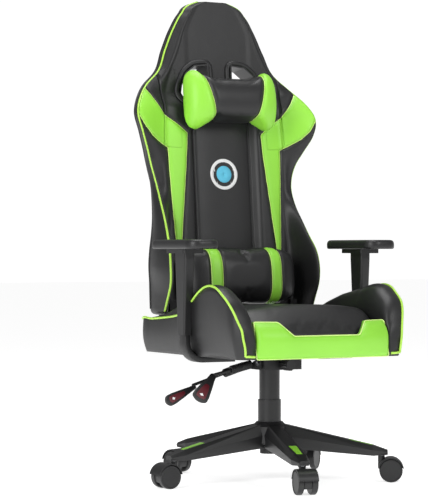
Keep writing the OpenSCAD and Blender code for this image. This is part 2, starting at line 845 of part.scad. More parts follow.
star_base();
leg_inserts();
lift_outer_tube();
lift_guide_bush();
dust_cover_lower();
dust_cover_middle();
piston_rod();
lift_cylinder();
dust_cover_upper();
mechanism_housing();
tilt_shaft();
valve_pin();
lever_rod(height_lever_y, height_reach, height_drop);  // height_lever_rod
height_lever_paddle();
lever_rod(tilt_lever_y, tilt_reach, tilt_drop);  // tilt_lever_rod
tilt_lever_paddle();
tension_knob();
tension_bolt();
seat_plate();
seat_frame();
seat_bolts();
seat_cushion();
seat_bolster_left();
seat_bolster_right();
seat_front_panel();
armrest_bracket(1);  // armrest_bracket_left
armrest_bracket(-1);  // armrest_bracket_right
hinge_plates();
armrest_sleeve(1);  // armrest_sleeve_left
armrest_sleeve(-1);  // armrest_sleeve_right
armrest_button(1);  // armrest_button_left
armrest_button(-1);  // armrest_button_right
armrest_pad(1);  // armrest_pad_left
armrest_pad(-1);  // armrest_pad_right
back_frame();
back_shell();
strap_rims();
recline_handle();
neck_pillow();
lumbar_pillow();
for (k = [1:5]) {
    caster_hood(k);
    caster_pins(k);
    caster_wheel(k, 1);
    caster_wheel(k, -1);
}
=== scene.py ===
import json
import math

import bmesh
import bpy
import numpy as np
from mathutils import Matrix, Vector


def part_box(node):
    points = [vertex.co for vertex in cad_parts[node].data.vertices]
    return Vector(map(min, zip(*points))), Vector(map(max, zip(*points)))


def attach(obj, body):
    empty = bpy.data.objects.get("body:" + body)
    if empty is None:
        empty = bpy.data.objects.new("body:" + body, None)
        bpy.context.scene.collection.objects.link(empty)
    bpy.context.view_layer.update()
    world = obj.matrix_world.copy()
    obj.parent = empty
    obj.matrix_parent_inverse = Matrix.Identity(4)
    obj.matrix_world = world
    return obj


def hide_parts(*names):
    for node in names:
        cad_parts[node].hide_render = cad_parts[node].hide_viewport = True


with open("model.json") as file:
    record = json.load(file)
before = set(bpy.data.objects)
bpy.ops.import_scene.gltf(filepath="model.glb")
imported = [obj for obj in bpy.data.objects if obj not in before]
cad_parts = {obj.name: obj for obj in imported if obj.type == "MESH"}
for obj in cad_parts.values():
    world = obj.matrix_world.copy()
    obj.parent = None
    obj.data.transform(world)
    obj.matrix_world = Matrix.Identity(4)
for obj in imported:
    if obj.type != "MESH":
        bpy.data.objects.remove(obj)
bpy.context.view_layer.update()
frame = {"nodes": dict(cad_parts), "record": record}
scene = bpy.context.scene
scene.view_settings.view_transform = "Standard"

# ---- Camera: a long lens held level at seat height, in front of the chair and to its right
camera_data = bpy.data.cameras.new("camera")
camera_data.lens = 145
camera_data.sensor_width = 36
camera_data.clip_end = 60
camera = bpy.data.objects.new("camera", camera_data)
scene.collection.objects.link(camera)
camera.location = (-2.646, -4.523, 0.60)
camera.rotation_euler = (math.radians(90), 0, math.radians(-28.75))
scene.camera = camera


# ---- Studio: a white sweep of floor, three soft boxes and an even white surround
def linear(hex_colour):
    """A screen colour such as "8FDA3C" as the linear numbers that a shader takes."""
    out = []
    for i in (0, 2, 4):
        c = int(hex_colour[i : i + 2], 16) / 255
        out.append(c / 12.92 if c <= 0.04045 else ((c + 0.055) / 1.055) ** 2.4)
    return (*out, 1)


def add_node(material, kind, links=None, **settings):
    """Adds a shader node. settings are its own options or sockets; links maps a socket to what feeds it."""
    node = material.node_tree.nodes.new(kind)
    for name, value in settings.items():
        if hasattr(node, name) and name not in node.inputs:
            setattr(node, name, value)
        else:
            node.inputs[name.replace("_", " ")].default_value = value
    for name, source in (links or {}).items():
        socket = node.inputs[name]
        material.node_tree.links.new(source, socket)
    return node


def new_material(name):
    """An empty node material with its output, and a shader to fill in."""
    material = bpy.data.materials.new(name)
    material.use_nodes = True
    material.node_tree.nodes.clear()
    out = add_node(material, "ShaderNodeOutputMaterial")
    shader = add_node(material, "ShaderNodeBsdfPrincipled")
    material.node_tree.links.new(shader.outputs[0], out.inputs[0])
    return material, shader


floor_paint, shader = new_material("floor_paint")
shader.inputs["Base Color"].default_value = linear("FAFAFA")
shader.inputs["Roughness"].default_value = 0.9
shader.inputs["Specular IOR Level"].default_value = 0.1
shader.inputs["Emission Color"].default_value = (1, 1, 1, 1)
shader.inputs["Emission Strength"].default_value = 0.68
bpy.ops.mesh.primitive_plane_add(size=60, location=(0, 0, 0))
floor = bpy.context.object
floor.name = "floor"
floor.data.materials.append(floor_paint)

surround = bpy.data.worlds.new("surround")
surround.use_nodes = True
background = surround.node_tree.nodes["Background"]
background.inputs["Color"].default_value = (1, 1, 1, 1)
seen = surround.node_tree.nodes.new("ShaderNodeLightPath")
strength = surround.node_tree.nodes.new("ShaderNodeMapRange")
strength.inputs["To Min"].default_value = 0.30
strength.inputs["To Max"].default_value = 1.05
surround.node_tree.links.new(seen.outputs["Is Camera Ray"], strength.inputs["Value"])
surround.node_tree.links.new(strength.outputs[0], background.inputs["Strength"])
scene.world = surround


def soft_box(name, place, aim, width, height, power):
    """An area light at place, turned to aim."""
    lamp = bpy.data.lights.new(name, "AREA")
    lamp.shape = "RECTANGLE"
    lamp.size = width
    lamp.size_y = height
    lamp.energy = power
    lamp_object = bpy.data.objects.new(name, lamp)
    scene.collection.objects.link(lamp_object)
    lamp_object.location = place
    lamp_object.rotation_euler = (Vector(aim) - Vector(place)).to_track_quat("-Z", "Y").to_euler()


soft_box("soft_box_left", (-3.2, -1.6, 1.9), (0, 0, 0.7), 1.2, 2.4, 60)
soft_box("soft_box_front", (1.0, -3.8, 2.6), (0, 0, 0.7), 1.6, 1.6, 45)
soft_box("soft_box_top", (0.0, 0.2, 3.4), (0, 0, 0.5), 2.0, 2.0, 50)


# ---- Back upholstery: moulded foam in a sewn cover of soft satin PU leather.
# A flat centre panel runs between two side pads that swell forward into wings, with a black
# gusset round the edge. A lime collar and stripe are sewn into the cover on both sides.
MM = 0.001
SEAT_Z = 0.330
LEAN = math.tan(math.radians(5.5))
# Each row: height over the seat's underside, half width, forward reach of the edge, root of the
# wing, depth of the gusset behind the edge (mm)
BACK_ROWS = np.array([
    (98, 223, 55, 192, 87), (140, 223, 81, 190, 112), (182, 223, 106, 188, 135),
    (230, 223, 112, 187, 141), (270, 220, 104, 186, 130), (310, 213, 82, 184, 108),
    (350, 208, 60, 182, 86), (390, 204, 35, 180, 66), (450, 206, 12, 178, 44),
    (505, 222, 15, 176, 38), (540, 239, 32, 174, 34), (585, 261, 53, 172, 31),
    (636, 271, 50, 170, 30), (672, 254, 32, 168, 30), (710, 221, 6, 162, 30),
    (746, 181, -5, 150, 30), (810, 150, -12, 120, 32), (870, 122, -11, 98, 32),
    (910, 97, -10, 76, 30), (936, 70, -13, 52, 26), (947, 40, -16, 24, 20),
], dtype=float)
SHELL_T = 58
CENTRE_HALF = 87


def front_y(z):
    """The flat plane of the back's centre panel, in metres."""
    return 0.2034 + LEAN * (z - SEAT_Z)


def smooth_rows(rows, heights):
    """Every column of rows at the given heights, along a smooth curve through the rows."""
    h = rows[:, 0]
    out = []
    for column in rows[:, 1:].T:
        slope = np.gradient(column, h)
        i = np.clip(np.searchsorted(h, heights) - 1, 0, len(h) - 2)
        step = h[i + 1] - h[i]
        t = (heights - h[i]) / step
        out.append(
            (2 * t**3 - 3 * t**2 + 1) * column[i]
            + (t**3 - 2 * t**2 + t) * step * slope[i]
            + (-2 * t**3 + 3 * t**2) * column[i + 1]
            + (t**3 - t**2) * step * slope[i + 1]
        )
    return np.array(out).T


def ease(t):
    """0 to 1 with a soft start and end."""
    t = np.clip(t, 0, 1)
    return t * t * (3 - 2 * t)


def panel_lift(h):
    """How far the side pads stand ahead of the centre panel at height h, mm. The head is one panel."""
    return 1 + 16 * (1 - ease((h - 650) / 50))


def back_half_loop(h, row):
    """Right half of the back's outline at one height as x, y (mm ahead is negative) and the part it is on."""
    w, reach, root, depth = row
    root = min(root, w * 0.86)
    mid = min(CENTRE_HALF, root * 0.85)
    lift = panel_lift(h)
    head = ease((h - 640) / 40)
    points = []
    for t in np.linspace(0, 1, 15):
        puff = 5 * (1 - t**4) * ease((h - 98) / 60)
        points.append((mid * t, -puff * (1 - head) + 2.5 * (t > 0.985) * (1 - head), 0))
    for t in np.linspace(0.03, 1, 16):
        x = mid + (root - mid) * t
        rise = lift * ease((x - mid) / min(16, root - mid) * 0.9) + 3 * math.sin(math.pi * t) * (1 - head)
        points.append((x, -rise, 1))
    for t in np.linspace(0.05, 1, 22):
        x = root + (w - root) * t
        swell = 5 * math.sin(math.pi * min(t * 1.05, 1)) * min(1, (w - root) / 30)
        y = lift + (reach - lift) * ease(t**1.15 * 0.93 + 0.035) + swell * (1 - 0.6 * t)
        points.append((x, -y, 2))
    for t in np.linspace(0.06, 1, 12):
        bulge = (4 + 8 * ease((h - 150) / 80) * (1 - ease((h - 480) / 60))) * math.sin(math.pi * t)
        points.append((w + bulge - 1.5, -reach + depth * t, 3))
    rear_edge = -reach + depth
    least = max(40 - lift, depth + 12 - reach)
    rear = SHELL_T - 10 * max(0, (h - 810) / 137)
    root_rear = min(rear, least)
    for t in np.linspace(0.05, 1, 14):
        x = w + (root - w) * t
        y = rear_edge + (root_rear - rear_edge) * ease(t) + 5 * math.sin(math.pi * t) * min(1,
            (w - root) / 30)
        points.append((x, min(y, rear + 3), 4))
    for t in np.linspace(0.04, 1, 20):
        x = root + (0 - root) * t
        y = root_rear + (rear - root_rear) * ease(t / 0.55)
        points.append((x, y, 4))
    return points


HEIGHTS = np.concatenate([np.arange(98, 936, 4.0), np.linspace(936, 947, 8)])
rows = smooth_rows(BACK_ROWS, HEIGHTS)
loops = []
parts = None
for h, row in zip(HEIGHTS, rows):
    half = back_half_loop(h, row)
    z = SEAT_Z + h * MM
    right = [(x * MM, front_y(z) + y * MM, z) for x, y, _ in half]
    left = [(-x, y, z) for x, y, z in right[-2:0:-1]]
    loops.append(right + left)
    parts = [p for _, _, p in half] + [p for _, _, p in half][-2:0:-1]


def squeezed(loop, keep, drop):
    """A loop drawn in towards its middle and moved along Z, for a rounded end."""
    loop = np.array(loop)
    centre = loop.mean(axis=0)
    # The outline is thin and wide, so each point moves in by a set distance instead of a share
    inward = centre - loop
    inward[:, 0] *= 0.12
    inward[:, 2] = 0
    loop = loop + inward * (1 - keep)
    loop[:, 2] += drop
    return [tuple(p) for p in loop]


END_RISE = ((0.30, 0.0), (0.62, 0.0008), (0.82, 0.0026), (0.93, 0.0060), (0.985, 0.0110))
low_rings = []
for keep, rise in END_RISE:
    z = SEAT_Z + 98 * MM + rise
    h = 98 + rise / MM
    half = back_half_loop(h, smooth_rows(BACK_ROWS, np.array([h]))[0])
    right = [(x * MM, front_y(z) + y * MM, z) for x, y, _ in half]
    low_rings.append(squeezed(right + [(-x, y, z) for x, y, z in right[-2:0:-1]], keep, 0))
body_loops = [l for l in loops if l[0][2] > SEAT_Z + 0.098 + 0.0125]
top_rings = []
for keep, rise in ((0.97, 0.0006), (0.90, 0.0012), (0.75, 0.0017), (0.5, 0.002)):
    top_rings.append(squeezed(loops[-1], keep, rise - 0.002))
back_loops = low_rings + body_loops[:-1] + [squeezed(loops[-1], 1, -0.002)] + top_rings


def lofted(name, rings):
    """A closed mesh through rings of equal length, with its ends filled."""
    n = len(rings[0])
    points = [p for ring in rings for p in ring]
    faces = []
    for i in range(len(rings) - 1):
        for j in range(n):
            k = (j + 1) % n
            faces.append((i * n + j, i * n + k, (i + 1) * n + k, (i + 1) * n + j))
    faces.append(tuple(range(n - 1, -1, -1)))
    last = (len(rings) - 1) * n
    faces.append(tuple(range(last, last + n)))
    mesh = bpy.data.meshes.new(name)
    mesh.from_pydata(points, [], faces)
    piece = bpy.data.objects.new(name, mesh)
    scene.collection.objects.link(piece)
    return piece


def tidy_mesh(piece, smooth=True):
    """Outward normals, and shading smooth or flat."""
    work = bmesh.new()
    work.from_mesh(piece.data)
    bmesh.ops.recalc_face_normals(work, faces=work.faces)
    work.to_mesh(piece.data)
    work.free()
    piece.data.polygons.foreach_set("use_smooth", [smooth] * len(piece.data.polygons))


back_cover = lofted("back_cover", back_loops)

# The cover's colours: each vertex keeps its distance to the nearest sewn edge of the lime panels
COLLAR = [(0.113, 0.9146), (0.1450, 0.940), (0.1790, 0.9614), (0.2080, 0.998), (0.2300, 1.0300),
    (0.262, 1.075),
          (0.33, 1.05), (0.33, 0.965), (0.2740, 0.9580), (0.2540, 0.9270), (0.2290, 0.9030), (0.2000, 0.8860),
          (0.1735, 0.8725), (0.1718, 0.8200), (0.1665, 0.7000), (0.1626, 0.6303), (0.1600, 0.5800),
          (0.1500, 0.5800), (0.1433, 0.6303), (0.1330, 0.7200), (0.1214, 0.8190), (0.1160, 0.8700)]


def edge_distance(points, outline):
    """Distance of each 2-D point to a closed outline, positive inside."""
    points = np.asarray(points)
    outline = np.asarray(outline)
    best = np.full(len(points), 1e9)
    inside = np.zeros(len(points), dtype=bool)
    for a, b in zip(outline, np.roll(outline, -1, axis=0)):
        along = b - a
        t = np.clip(((points - a) @ along) / (along @ along), 0, 1)
        best = np.minimum(best, np.hypot(*(points - a - t[:, None] * along).T))
        crosses = (a[1] > points[:, 1]) != (b[1] > points[:, 1])
        at = a[0] + (points[:, 1] - a[1]) * along[0] / (along[1] if along[1] else 1e-9)
        inside ^= crosses & (points[:, 0] < at)
    return np.where(inside, best, -best)


def keep_number(piece, name, values):
    """Stores one number at each vertex for the material to read."""
    attribute = piece.data.attributes.new(name, "FLOAT", "POINT")
    attribute.data.foreach_set("value", np.asarray(values, dtype=np.float32))


def vertices_of(piece):
    out = np.empty(len(piece.data.vertices) * 3)
    piece.data.vertices.foreach_get("co", out)
    return out.reshape(-1, 3)


def move_vertices(piece, points):
    piece.data.vertices.foreach_set("co", np.asarray(points, dtype=np.float64).ravel())
    piece.data.update()


parts = np.array(parts)
on_front = np.tile(parts <= 2, len(back_loops))
points = vertices_of(back_cover)
lime_edge = edge_distance(np.column_stack((abs(points[:, 0]), points[:, 2])), COLLAR)
lime_edge = np.where(on_front, lime_edge, -0.05)
# Panels swell a little between their seams, and the seams pull in
seam_dip = 0.0025 * np.exp(-((lime_edge / 0.004) ** 2)) * on_front
points[:, 1] += seam_dip
move_vertices(back_cover, points)
keep_number(back_cover, "lime_edge", lime_edge)

# Further seams: the wing's seam down the shoulder, and the headrest's two darts
height = points[:, 2]
across = abs(points[:, 0])
wing_seam = across - (0.1790 + (0.9614 - height) * 0.055)
wing_seam = np.where((height < 0.9614) & (height > 0.872) & on_front, wing_seam, 0.05)
shoulder_seam = across - (0.1790 + (height - 0.9614) * 0.05)
shoulder_seam = np.where((height >= 0.9614) & (height < 1.088) & on_front, shoulder_seam, 0.05)
keep_number(back_cover, "seam", np.where(abs(wing_seam) < abs(shoulder_seam), wing_seam, shoulder_seam))
tidy_mesh(back_cover)


def leather(name, colour, shade, roughness=0.42):
    """Soft PU leather: a fine grain, faint creases and a satin coat.

    shade is the darker colour, mixed in by the crease noise that also drives the bump: a random mottle that
    is also painted shade in the crease dips.
    """
    material, shader = new_material(name)
    place = add_node(material, "ShaderNodeTexCoord")
    grain = add_node(
        material, "ShaderNodeTexVoronoi", {"Vector": place.outputs["Object"]}, Scale=620, Randomness=1.0
    )
    crease = add_node(
        material, "ShaderNodeTexNoise", {"Vector": place.outputs["Object"]}, Scale=9, Detail=5, Roughness=0.55
    )
    # The crease noise mixes the shade colour into the bump's dips: random mottle, and painted shade in the
    # crease dips
    mottle_and_dip_shade = add_node(
        material, "ShaderNodeMix", {"Factor": crease.outputs["Fac"]}, data_type="RGBA"
    )
    mottle_and_dip_shade.inputs[6].default_value = linear(shade)
    mottle_and_dip_shade.inputs[7].default_value = linear(colour)
    small = add_node(
        material, "ShaderNodeBump", {"Height": grain.outputs["Distance"]}, Strength=0.12, Distance=0.0004
    )
    bump = add_node(
        material,
        "ShaderNodeBump",
        {"Height": crease.outputs["Fac"], "Normal": small.outputs["Normal"]},
        Strength=0.25,
        Distance=0.004,
    )
    material.node_tree.links.new(mottle_and_dip_shade.outputs[2], shader.inputs["Base Color"])
    material.node_tree.links.new(bump.outputs["Normal"], shader.inputs["Normal"])
    shader.inputs["Roughness"].default_value = roughness
    shader.inputs["Specular IOR Level"].default_value = 0.5
    return material, shader, mottle_and_dip_shade, bump


def number_at(material, name):
    """The number kept at each vertex, as a node output."""
    return add_node(material, "ShaderNodeAttribute", attribute_name=name).outputs["Fac"]


def sum_of(material, operation, first, second, clamp=False):
    """One step of arithmetic on a node output or a number."""
    node = add_node(material, "ShaderNodeMath", operation=operation, use_clamp=clamp)
    for socket, value in zip(node.inputs, (first, second)):
        if isinstance(value, (int, float)):
            socket.default_value = value
        else:
            material.node_tree.links.new(value, socket)
    return node.outputs[0]


BLACK_LEATHER = "1F1F20"
# BLACK_SHADE and LIME_SHADE are the darker tones in the leather's crease dips: random mottle and painted
# shade
BLACK_SHADE = "19191A"
LIME_LEATHER = "93DC42"
LIME_SHADE = "86CE38"
# Pale green painted as the highlight along the lime panels' seams
LIME_SEAM_HIGHLIGHT = "D2F57E"


def two_tone(name, number="lime_edge"):
    """Black and lime leather on one cover, with a pale band painted just inside the lime edge as the
    highlight where the panel puffs at its seam.
    """
    material, shader, black_mottle_and_dip_shade, bump = leather(name, BLACK_LEATHER, BLACK_SHADE)
    edge = number_at(material, number)
    lime = sum_of(material, "GREATER_THAN", edge, 0.0)
    # pale is a painted highlight: a thin band just inside the lime edge, where the panel puffs at its seam
    pale = sum_of(material, "MULTIPLY", lime, sum_of(material, "LESS_THAN", edge, 0.0016))
    lime_mix = add_node(material, "ShaderNodeMix", {"Factor": lime}, data_type="RGBA")
    material.node_tree.links.new(black_mottle_and_dip_shade.outputs[2], lime_mix.inputs[6])
    lime_mix.inputs[7].default_value = linear(LIME_LEATHER)
    seam_highlight_mix = add_node(material, "ShaderNodeMix", {"Factor": pale}, data_type="RGBA")
    material.node_tree.links.new(lime_mix.outputs[2], seam_highlight_mix.inputs[6])
    seam_highlight_mix.inputs[7].default_value = linear(LIME_SEAM_HIGHLIGHT)
    material.node_tree.links.new(seam_highlight_mix.outputs[2], shader.inputs["Base Color"])
    near = sum_of(material, "MULTIPLY", sum_of(material, "ABSOLUTE", edge, 0), 180, clamp=True)
    seam = add_node(
        material,
        "ShaderNodeBump",
        {"Height": near, "Normal": bump.outputs["Normal"]},
        Strength=0.8,
        Distance=0.003,
    )
    material.node_tree.links.new(seam.outputs["Normal"], shader.inputs["Normal"])
    return material, shader, seam


back_leather, shader, seam = two_tone("back_leather")
line = sum_of(back_leather, "ABSOLUTE", number_at(back_leather, "seam"), 0)
line = sum_of(back_leather, "MULTIPLY", line, 220, clamp=True)
deep = add_node(
    back_leather, "ShaderNodeBump", {"Height": line, "Normal": seam.outputs["Normal"]}, Strength=1,
        Distance=0.004
)
back_leather.node_tree.links.new(deep.outputs["Normal"], shader.inputs["Normal"])
back_cover.data.materials.append(back_leather)

# The two strap openings go right through the cover
OPENING = np.array([(34, 774), (78, 770), (106, 748), (122, 712), (126, 690), (117, 677), (42, 677),
    (32, 686)]) * MM


def rounded_outline(outline, radius, steps=5):
    """A closed 2-D outline with its corners rounded off."""
    out = []
    n = len(outline)
    for i in range(n):
        before, here, after = outline[i - 1], outline[i], outline[(i + 1) % n]
        to_before, to_after = before - here, after - here
        reach = min(radius, 0.45 * np.linalg.norm(to_before), 0.45 * np.linalg.norm(to_after))
        a = here + to_before / np.linalg.norm(to_before) * reach
        b = here + to_after / np.linalg.norm(to_after) * reach
        for t in np.linspace(0, 1, steps):
            out.append((1 - t) ** 2 * a + 2 * t * (1 - t) * here + t * t * b)
    return np.array(out)


opening_outline = rounded_outline(OPENING + np.array([0, SEAT_Z]), 0.012)
for side in (1, -1):
    rings = []
    for offset in (-0.08, 0.14):
        ring = [(side * x, front_y(z) + offset, z) for x, z in opening_outline]
        rings.append(ring)
    cutter = lofted("cutter", rings)
    tidy_mesh(cutter, smooth=False)
    cut = back_cover.modifiers.new("opening", "BOOLEAN")
    cut.object = cutter
    cut.operation = "DIFFERENCE"
    cut.solver = "EXACT"
    applied = bpy.data.meshes.new_from_object(
        back_cover.evaluated_get(bpy.context.evaluated_depsgraph_get())
    )
    back_cover.modifiers.clear()
    back_cover.data = applied
    bpy.data.objects.remove(cutter)
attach(back_cover, "back")
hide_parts("back_shell")


# ---- Piping round the back: a lime cord sewn into the seam between the face and the gusset
def tube(name, path, radius, sides=8, closed=False):
    """A round cord along a path of points."""
    path = np.array(path, dtype=float)
    n = len(path)
    ahead = np.roll(path, -1, axis=0) - path
    if not closed:
        ahead[-1] = ahead[-2]
    behind = np.roll(ahead, 1, axis=0)
    if not closed:
        behind[0] = ahead[0]
    tangent = ahead / np.linalg.norm(ahead, axis=1)[:, None] + behind / np.linalg.norm(behind,
        axis=1)[:, None]
    tangent /= np.linalg.norm(tangent, axis=1)[:, None]
    normal = np.cross(tangent[0], (0.31, 0.22, 0.93))
    rings = []
    for i in range(n):
        normal = normal - tangent[i] * (normal @ tangent[i])
        normal /= np.linalg.norm(normal)
        other = np.cross(tangent[i], normal)
        turn = np.linspace(0, 2 * math.pi, sides, endpoint=False)
        rings.append(path[i] + radius * (np.cos(turn)[:, None] * normal + np.sin(turn)[:, None] * other))
    if closed:
        points = [tuple(p) for ring in rings for p in ring]
        # The last ring may be turned against the first, so it starts at its nearest point
        gap = [np.linalg.norm(rings[-1] - np.roll(rings[0], -s, axis=0)) for s in range(sides)]
        shift = int(np.argmin(gap))
        faces = []
        for i in range(n):
            for j in range(sides):
                k = (j + 1) % sides
                extra = shift if i == n - 1 else 0
                a, b = ((i + 1) % n) * sides + (j + extra) % sides, ((i + 1) % n) * sides + (k
                    + extra) % sides
                faces.append((i * sides + j, i * sides + k, b, a))
        mesh = bpy.data.meshes.new(name)
        mesh.from_pydata(points, [], faces)
        piece = bpy.data.objects.new(name, mesh)
        scene.collection.objects.link(piece)
    else:
        piece = lofted(name, rings)
    tidy_mesh(piece)
    return piece


def dense_path(points, step=0.004):
    """A smooth curve through points, cut into even steps."""
    points = np.array(points, dtype=float)
    length = np.concatenate(([0], np.cumsum(np.linalg.norm(np.diff(points, axis=0), axis=1))))
    at = np.linspace(0, length[-1], max(3, int(length[-1] / step)))
    return smooth_rows(np.column_stack((length, points)), at)


lime_piping, shader, mottle_and_dip_shade, bump = leather("lime_piping", "B8E85A", "A9DC4C", roughness=0.35)
EDGE = 15 + 16 + 22  # the piping's place in each loop's right half, just behind the face
right_edge = [loop[EDGE] for loop in back_loops[4:-5]]
top_loop = np.array(back_loops[-5])
top_edge = [tuple(p) for p in top_loop[EDGE - 4 :: -8][:6]]
edge_path = right_edge + [(p[0], p[1] + 0.006, p[2] - 0.001) for p in top_edge]
edge_path = edge_path + [(-x, y, z) for x, y, z in edge_path[::-1] if x > 0.002]
edge_path = np.array(edge_path)
outward = np.sign(edge_path[:, 0]) * np.clip(abs(edge_path[:, 0]) / 0.03, 0, 1)
behind = 0.004 * ease((edge_path[:, 2] - 0.60) / 0.1)
edge_path[:, 0] += outward * (0.0022 - behind * 0.4)
edge_path[:, 1] += behind
back_piping = tube("back_piping", dense_path(edge_path, 0.006), 0.0032)
back_piping.data.materials.append(lime_piping)
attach(back_piping, "back")

# The rear seam of the gusset has a thinner black piping
REAR_EDGE = 15 + 16 + 22 + 12 - 1
rear_line = [loop[REAR_EDGE] for loop in back_loops[5:-6]]
top_rear = [tuple(p) for p in np.array(back_loops[-6])[REAR_EDGE:REAR_EDGE + 28 : 7]]
rear_line = rear_line + top_rear
rear_line = rear_line + [(-x, y, z) for x, y, z in rear_line[::-1] if x > 0.002]
black_piping, shader, mottle_and_dip_shade, bump = leather("black_piping", "1A1A1B", "151516", roughness=0.4)
rear_piping = tube("rear_piping", dense_path(rear_line, 0.006), 0.0026)
rear_piping.data.materials.append(black_piping)
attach(rear_piping, "back")

# ---- Strap opening rims: a padded roll of black leather sewn round each opening, 13 mm wide
black_leather, shader, mottle_and_dip_shade, bump = leather("black_leather", BLACK_LEATHER, BLACK_SHADE)
rim_middle = rounded_outline(OPENING + np.array([0, SEAT_Z]), 0.014, steps=8)


def grown(outline, distance):
    """A closed outline moved outward by a distance."""
    ahead = np.roll(outline, -1, axis=0) - np.roll(outline, 1, axis=0)
    ahead /= np.linalg.norm(ahead, axis=1)[:, None] + 1e-12
    normal = np.column_stack((ahead[:, 1], -ahead[:, 0]))
    if ((outline - outline.mean(axis=0)) * normal).sum() < 0:
        normal = -normal
    return outline + normal * distance


for side, word in ((1, "left"), (-1, "right")):
    ring_list = []
    for turn in np.linspace(0, 2 * math.pi, 13)[:-1]:
        outline = grown(rim_middle, 0.0068 + 0.0072 * math.cos(turn))
        proud = 0.0060 * math.sin(turn) + 0.0010
        ring_list.append([(side * x, front_y(z) - panel_lift((z - SEAT_Z) / MM) * MM - proud, z) for x,
            z in outline])
    n = len(ring_list[0])
    points = [p for ring in ring_list for p in ring]
    faces = []
    for i in range(12):
        for j in range(n):
            k = (j + 1) % n
            m = (i + 1) % 12
            faces.append((i * n + j, i * n + k, m * n + k, m * n + j))
    mesh = bpy.data.meshes.new("opening_rim_" + word)
    mesh.from_pydata(points, [], faces)
    rim = bpy.data.objects.new("opening_rim_" + word, mesh)
    scene.collection.objects.link(rim)
    tidy_mesh(rim)
    rim.data.materials.append(black_leather)
    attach(rim, "back")

# ---- Badge: an embroidered ring and dot of white and light blue thread on the centre panel
white_thread, shader = new_material("white_thread")
shader.inputs["Base Color"].default_value = linear("EDEDED")
shader.inputs["Roughness"].default_value = 0.7
blue_thread, shader = new_material("blue_thread")
shader.inputs["Base Color"].default_value = linear("62C5E4")
shader.inputs["Roughness"].default_value = 0.7
BADGE_Z = 0.805


def panel_y(x, z):
    """The centre panel's own puffed surface."""
    return front_y(z) - 0.005 * (1 - (x / (CENTRE_HALF * MM)) ** 4)


def badge_band(name, inner, outer, material):
    """A flat raised ring on the centre panel."""
    rings = []
    for radius, proud in ((inner, 0), (inner + 0.0006, 0.0012), (outer - 0.0006, 0.0012), (outer, 0)):
        turn = np.linspace(0, 2 * math.pi, 72, endpoint=False)
        ring = [(radius * math.cos(t), radius * math.sin(t) + BADGE_Z) for t in turn]
        rings.append([(x, panel_y(x, z) - proud, z) for x, z in ring])
    piece = lofted(name, rings)
    tidy_mesh(piece)
    piece.data.materials.append(material)
    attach(piece, "back")


badge_band("badge_ring", 0.033, 0.042, white_thread)
badge_band("badge_dot", 0.0005, 0.023, blue_thread)


# ---- Neck and lumbar pillows: polyester filling in sewn leather covers, lime at the neck
# pillow's ends and in two stripes on the lumbar pillow, with a painted pale highlight along the seams
def stuffed(piece, voxel, pressure, cap, frames=20):
    """Fills a cover: cloth under pressure swells, each point moving at most cap, then one subdivision."""
    remesh = piece.modifiers.new("even", "REMESH")
    remesh.mode = "VOXEL"
    remesh.voxel_size = voxel
    smooth = piece.modifiers.new("soften", "SMOOTH")
    smooth.iterations = 3
    apply_modifiers(piece)
    before = vertices_of(piece)
    cloth = piece.modifiers.new("cloth", "CLOTH")
    cloth.settings.use_pressure = True
    cloth.settings.uniform_pressure_force = pressure
    cloth.settings.effector_weights.gravity = 0
    cloth.settings.tension_stiffness = 12
    cloth.settings.compression_stiffness = 12
    cloth.settings.bending_stiffness = 0.4
    cloth.settings.quality = 4
    for step in range(1, frames + 1):
        scene.frame_set(step)
    swollen = piece.evaluated_get(bpy.context.evaluated_depsgraph_get())
    after = np.empty(len(before) * 3)
    swollen.data.vertices.foreach_get("co", after)
    after = after.reshape(-1, 3)
    piece.modifiers.clear()
    scene.frame_set(1)
    move = after - before
    far = np.linalg.norm(move, axis=1)
    move *= (np.minimum(far, cap) / np.maximum(far, 1e-9))[:, None]
    move_vertices(piece, before + move)
    fine = piece.modifiers.new("fine", "SUBSURF")
    fine.levels = 1
    apply_modifiers(piece)


def apply_modifiers(piece):
    """Bakes a piece's modifiers into its mesh."""
    applied = bpy.data.meshes.new_from_object(piece.evaluated_get(bpy.context.evaluated_depsgraph_get()))
    old = piece.data
    piece.modifiers.clear()
    piece.data = applied
    bpy.data.meshes.remove(old)


def leaning(points, z):
    """Points built upright round the origin, with the back at y 0, set on the leaning back at height z."""
    points = np.asarray(points)
    lean = math.radians(5.5)
    out = points.copy()
    out[:, 1] = points[:, 1] * math.cos(lean) + points[:, 2] * math.sin(lean)
    out[:, 2] = -points[:, 1] * math.sin(lean) + points[:, 2] * math.cos(lean)
    out[:, 1] += front_y(z) - 0.0185
    out[:, 2] += z
    return out


def pillow_rings(half_width, depth, half_height, count=40, sides=48, square=2.6):
    """Upright rings along X; half_height gives the height at x. The back is flat and the front bowed."""
    rings = []
    for s in np.linspace(-1, 1, count):
        s = math.sin(s * math.pi / 2)
        x = half_width * s
        end = (1 - abs(s) ** 5) ** (1 / 2.4) if abs(s) < 1 else 0
        end = max(end, 0.12)
        turn = np.linspace(0, 2 * math.pi, sides, endpoint=False)
        c, d = np.cos(turn), np.sin(turn)
        up = np.sign(d) * abs(d) ** (2 / square) * half_height(x) * (0.45 + 0.55 * end)
        out = np.sign(c) * abs(c) ** (2 / square)
        # Positive out is the front; the back half stays close to the plane
        y = np.where(out > 0, -0.30 * depth - out * 0.66 * depth * end,
            -0.30 * depth - out * 0.26 * depth * end)
        rings.append([(x, yy, zz) for yy, zz in zip(y, up)])
    return rings


NECK_Z = SEAT_Z + 0.669
LUMBAR_Z = SEAT_Z + 0.196


def neck_half_height(x):
    return 0.066 + 0.026 * ease((abs(x) - 0.055) / 0.07)


def neck_seam(up):
    """How far from the middle the neck pillow's end seams are at that height over its middle."""
    return 0.074 + 0.244 * up


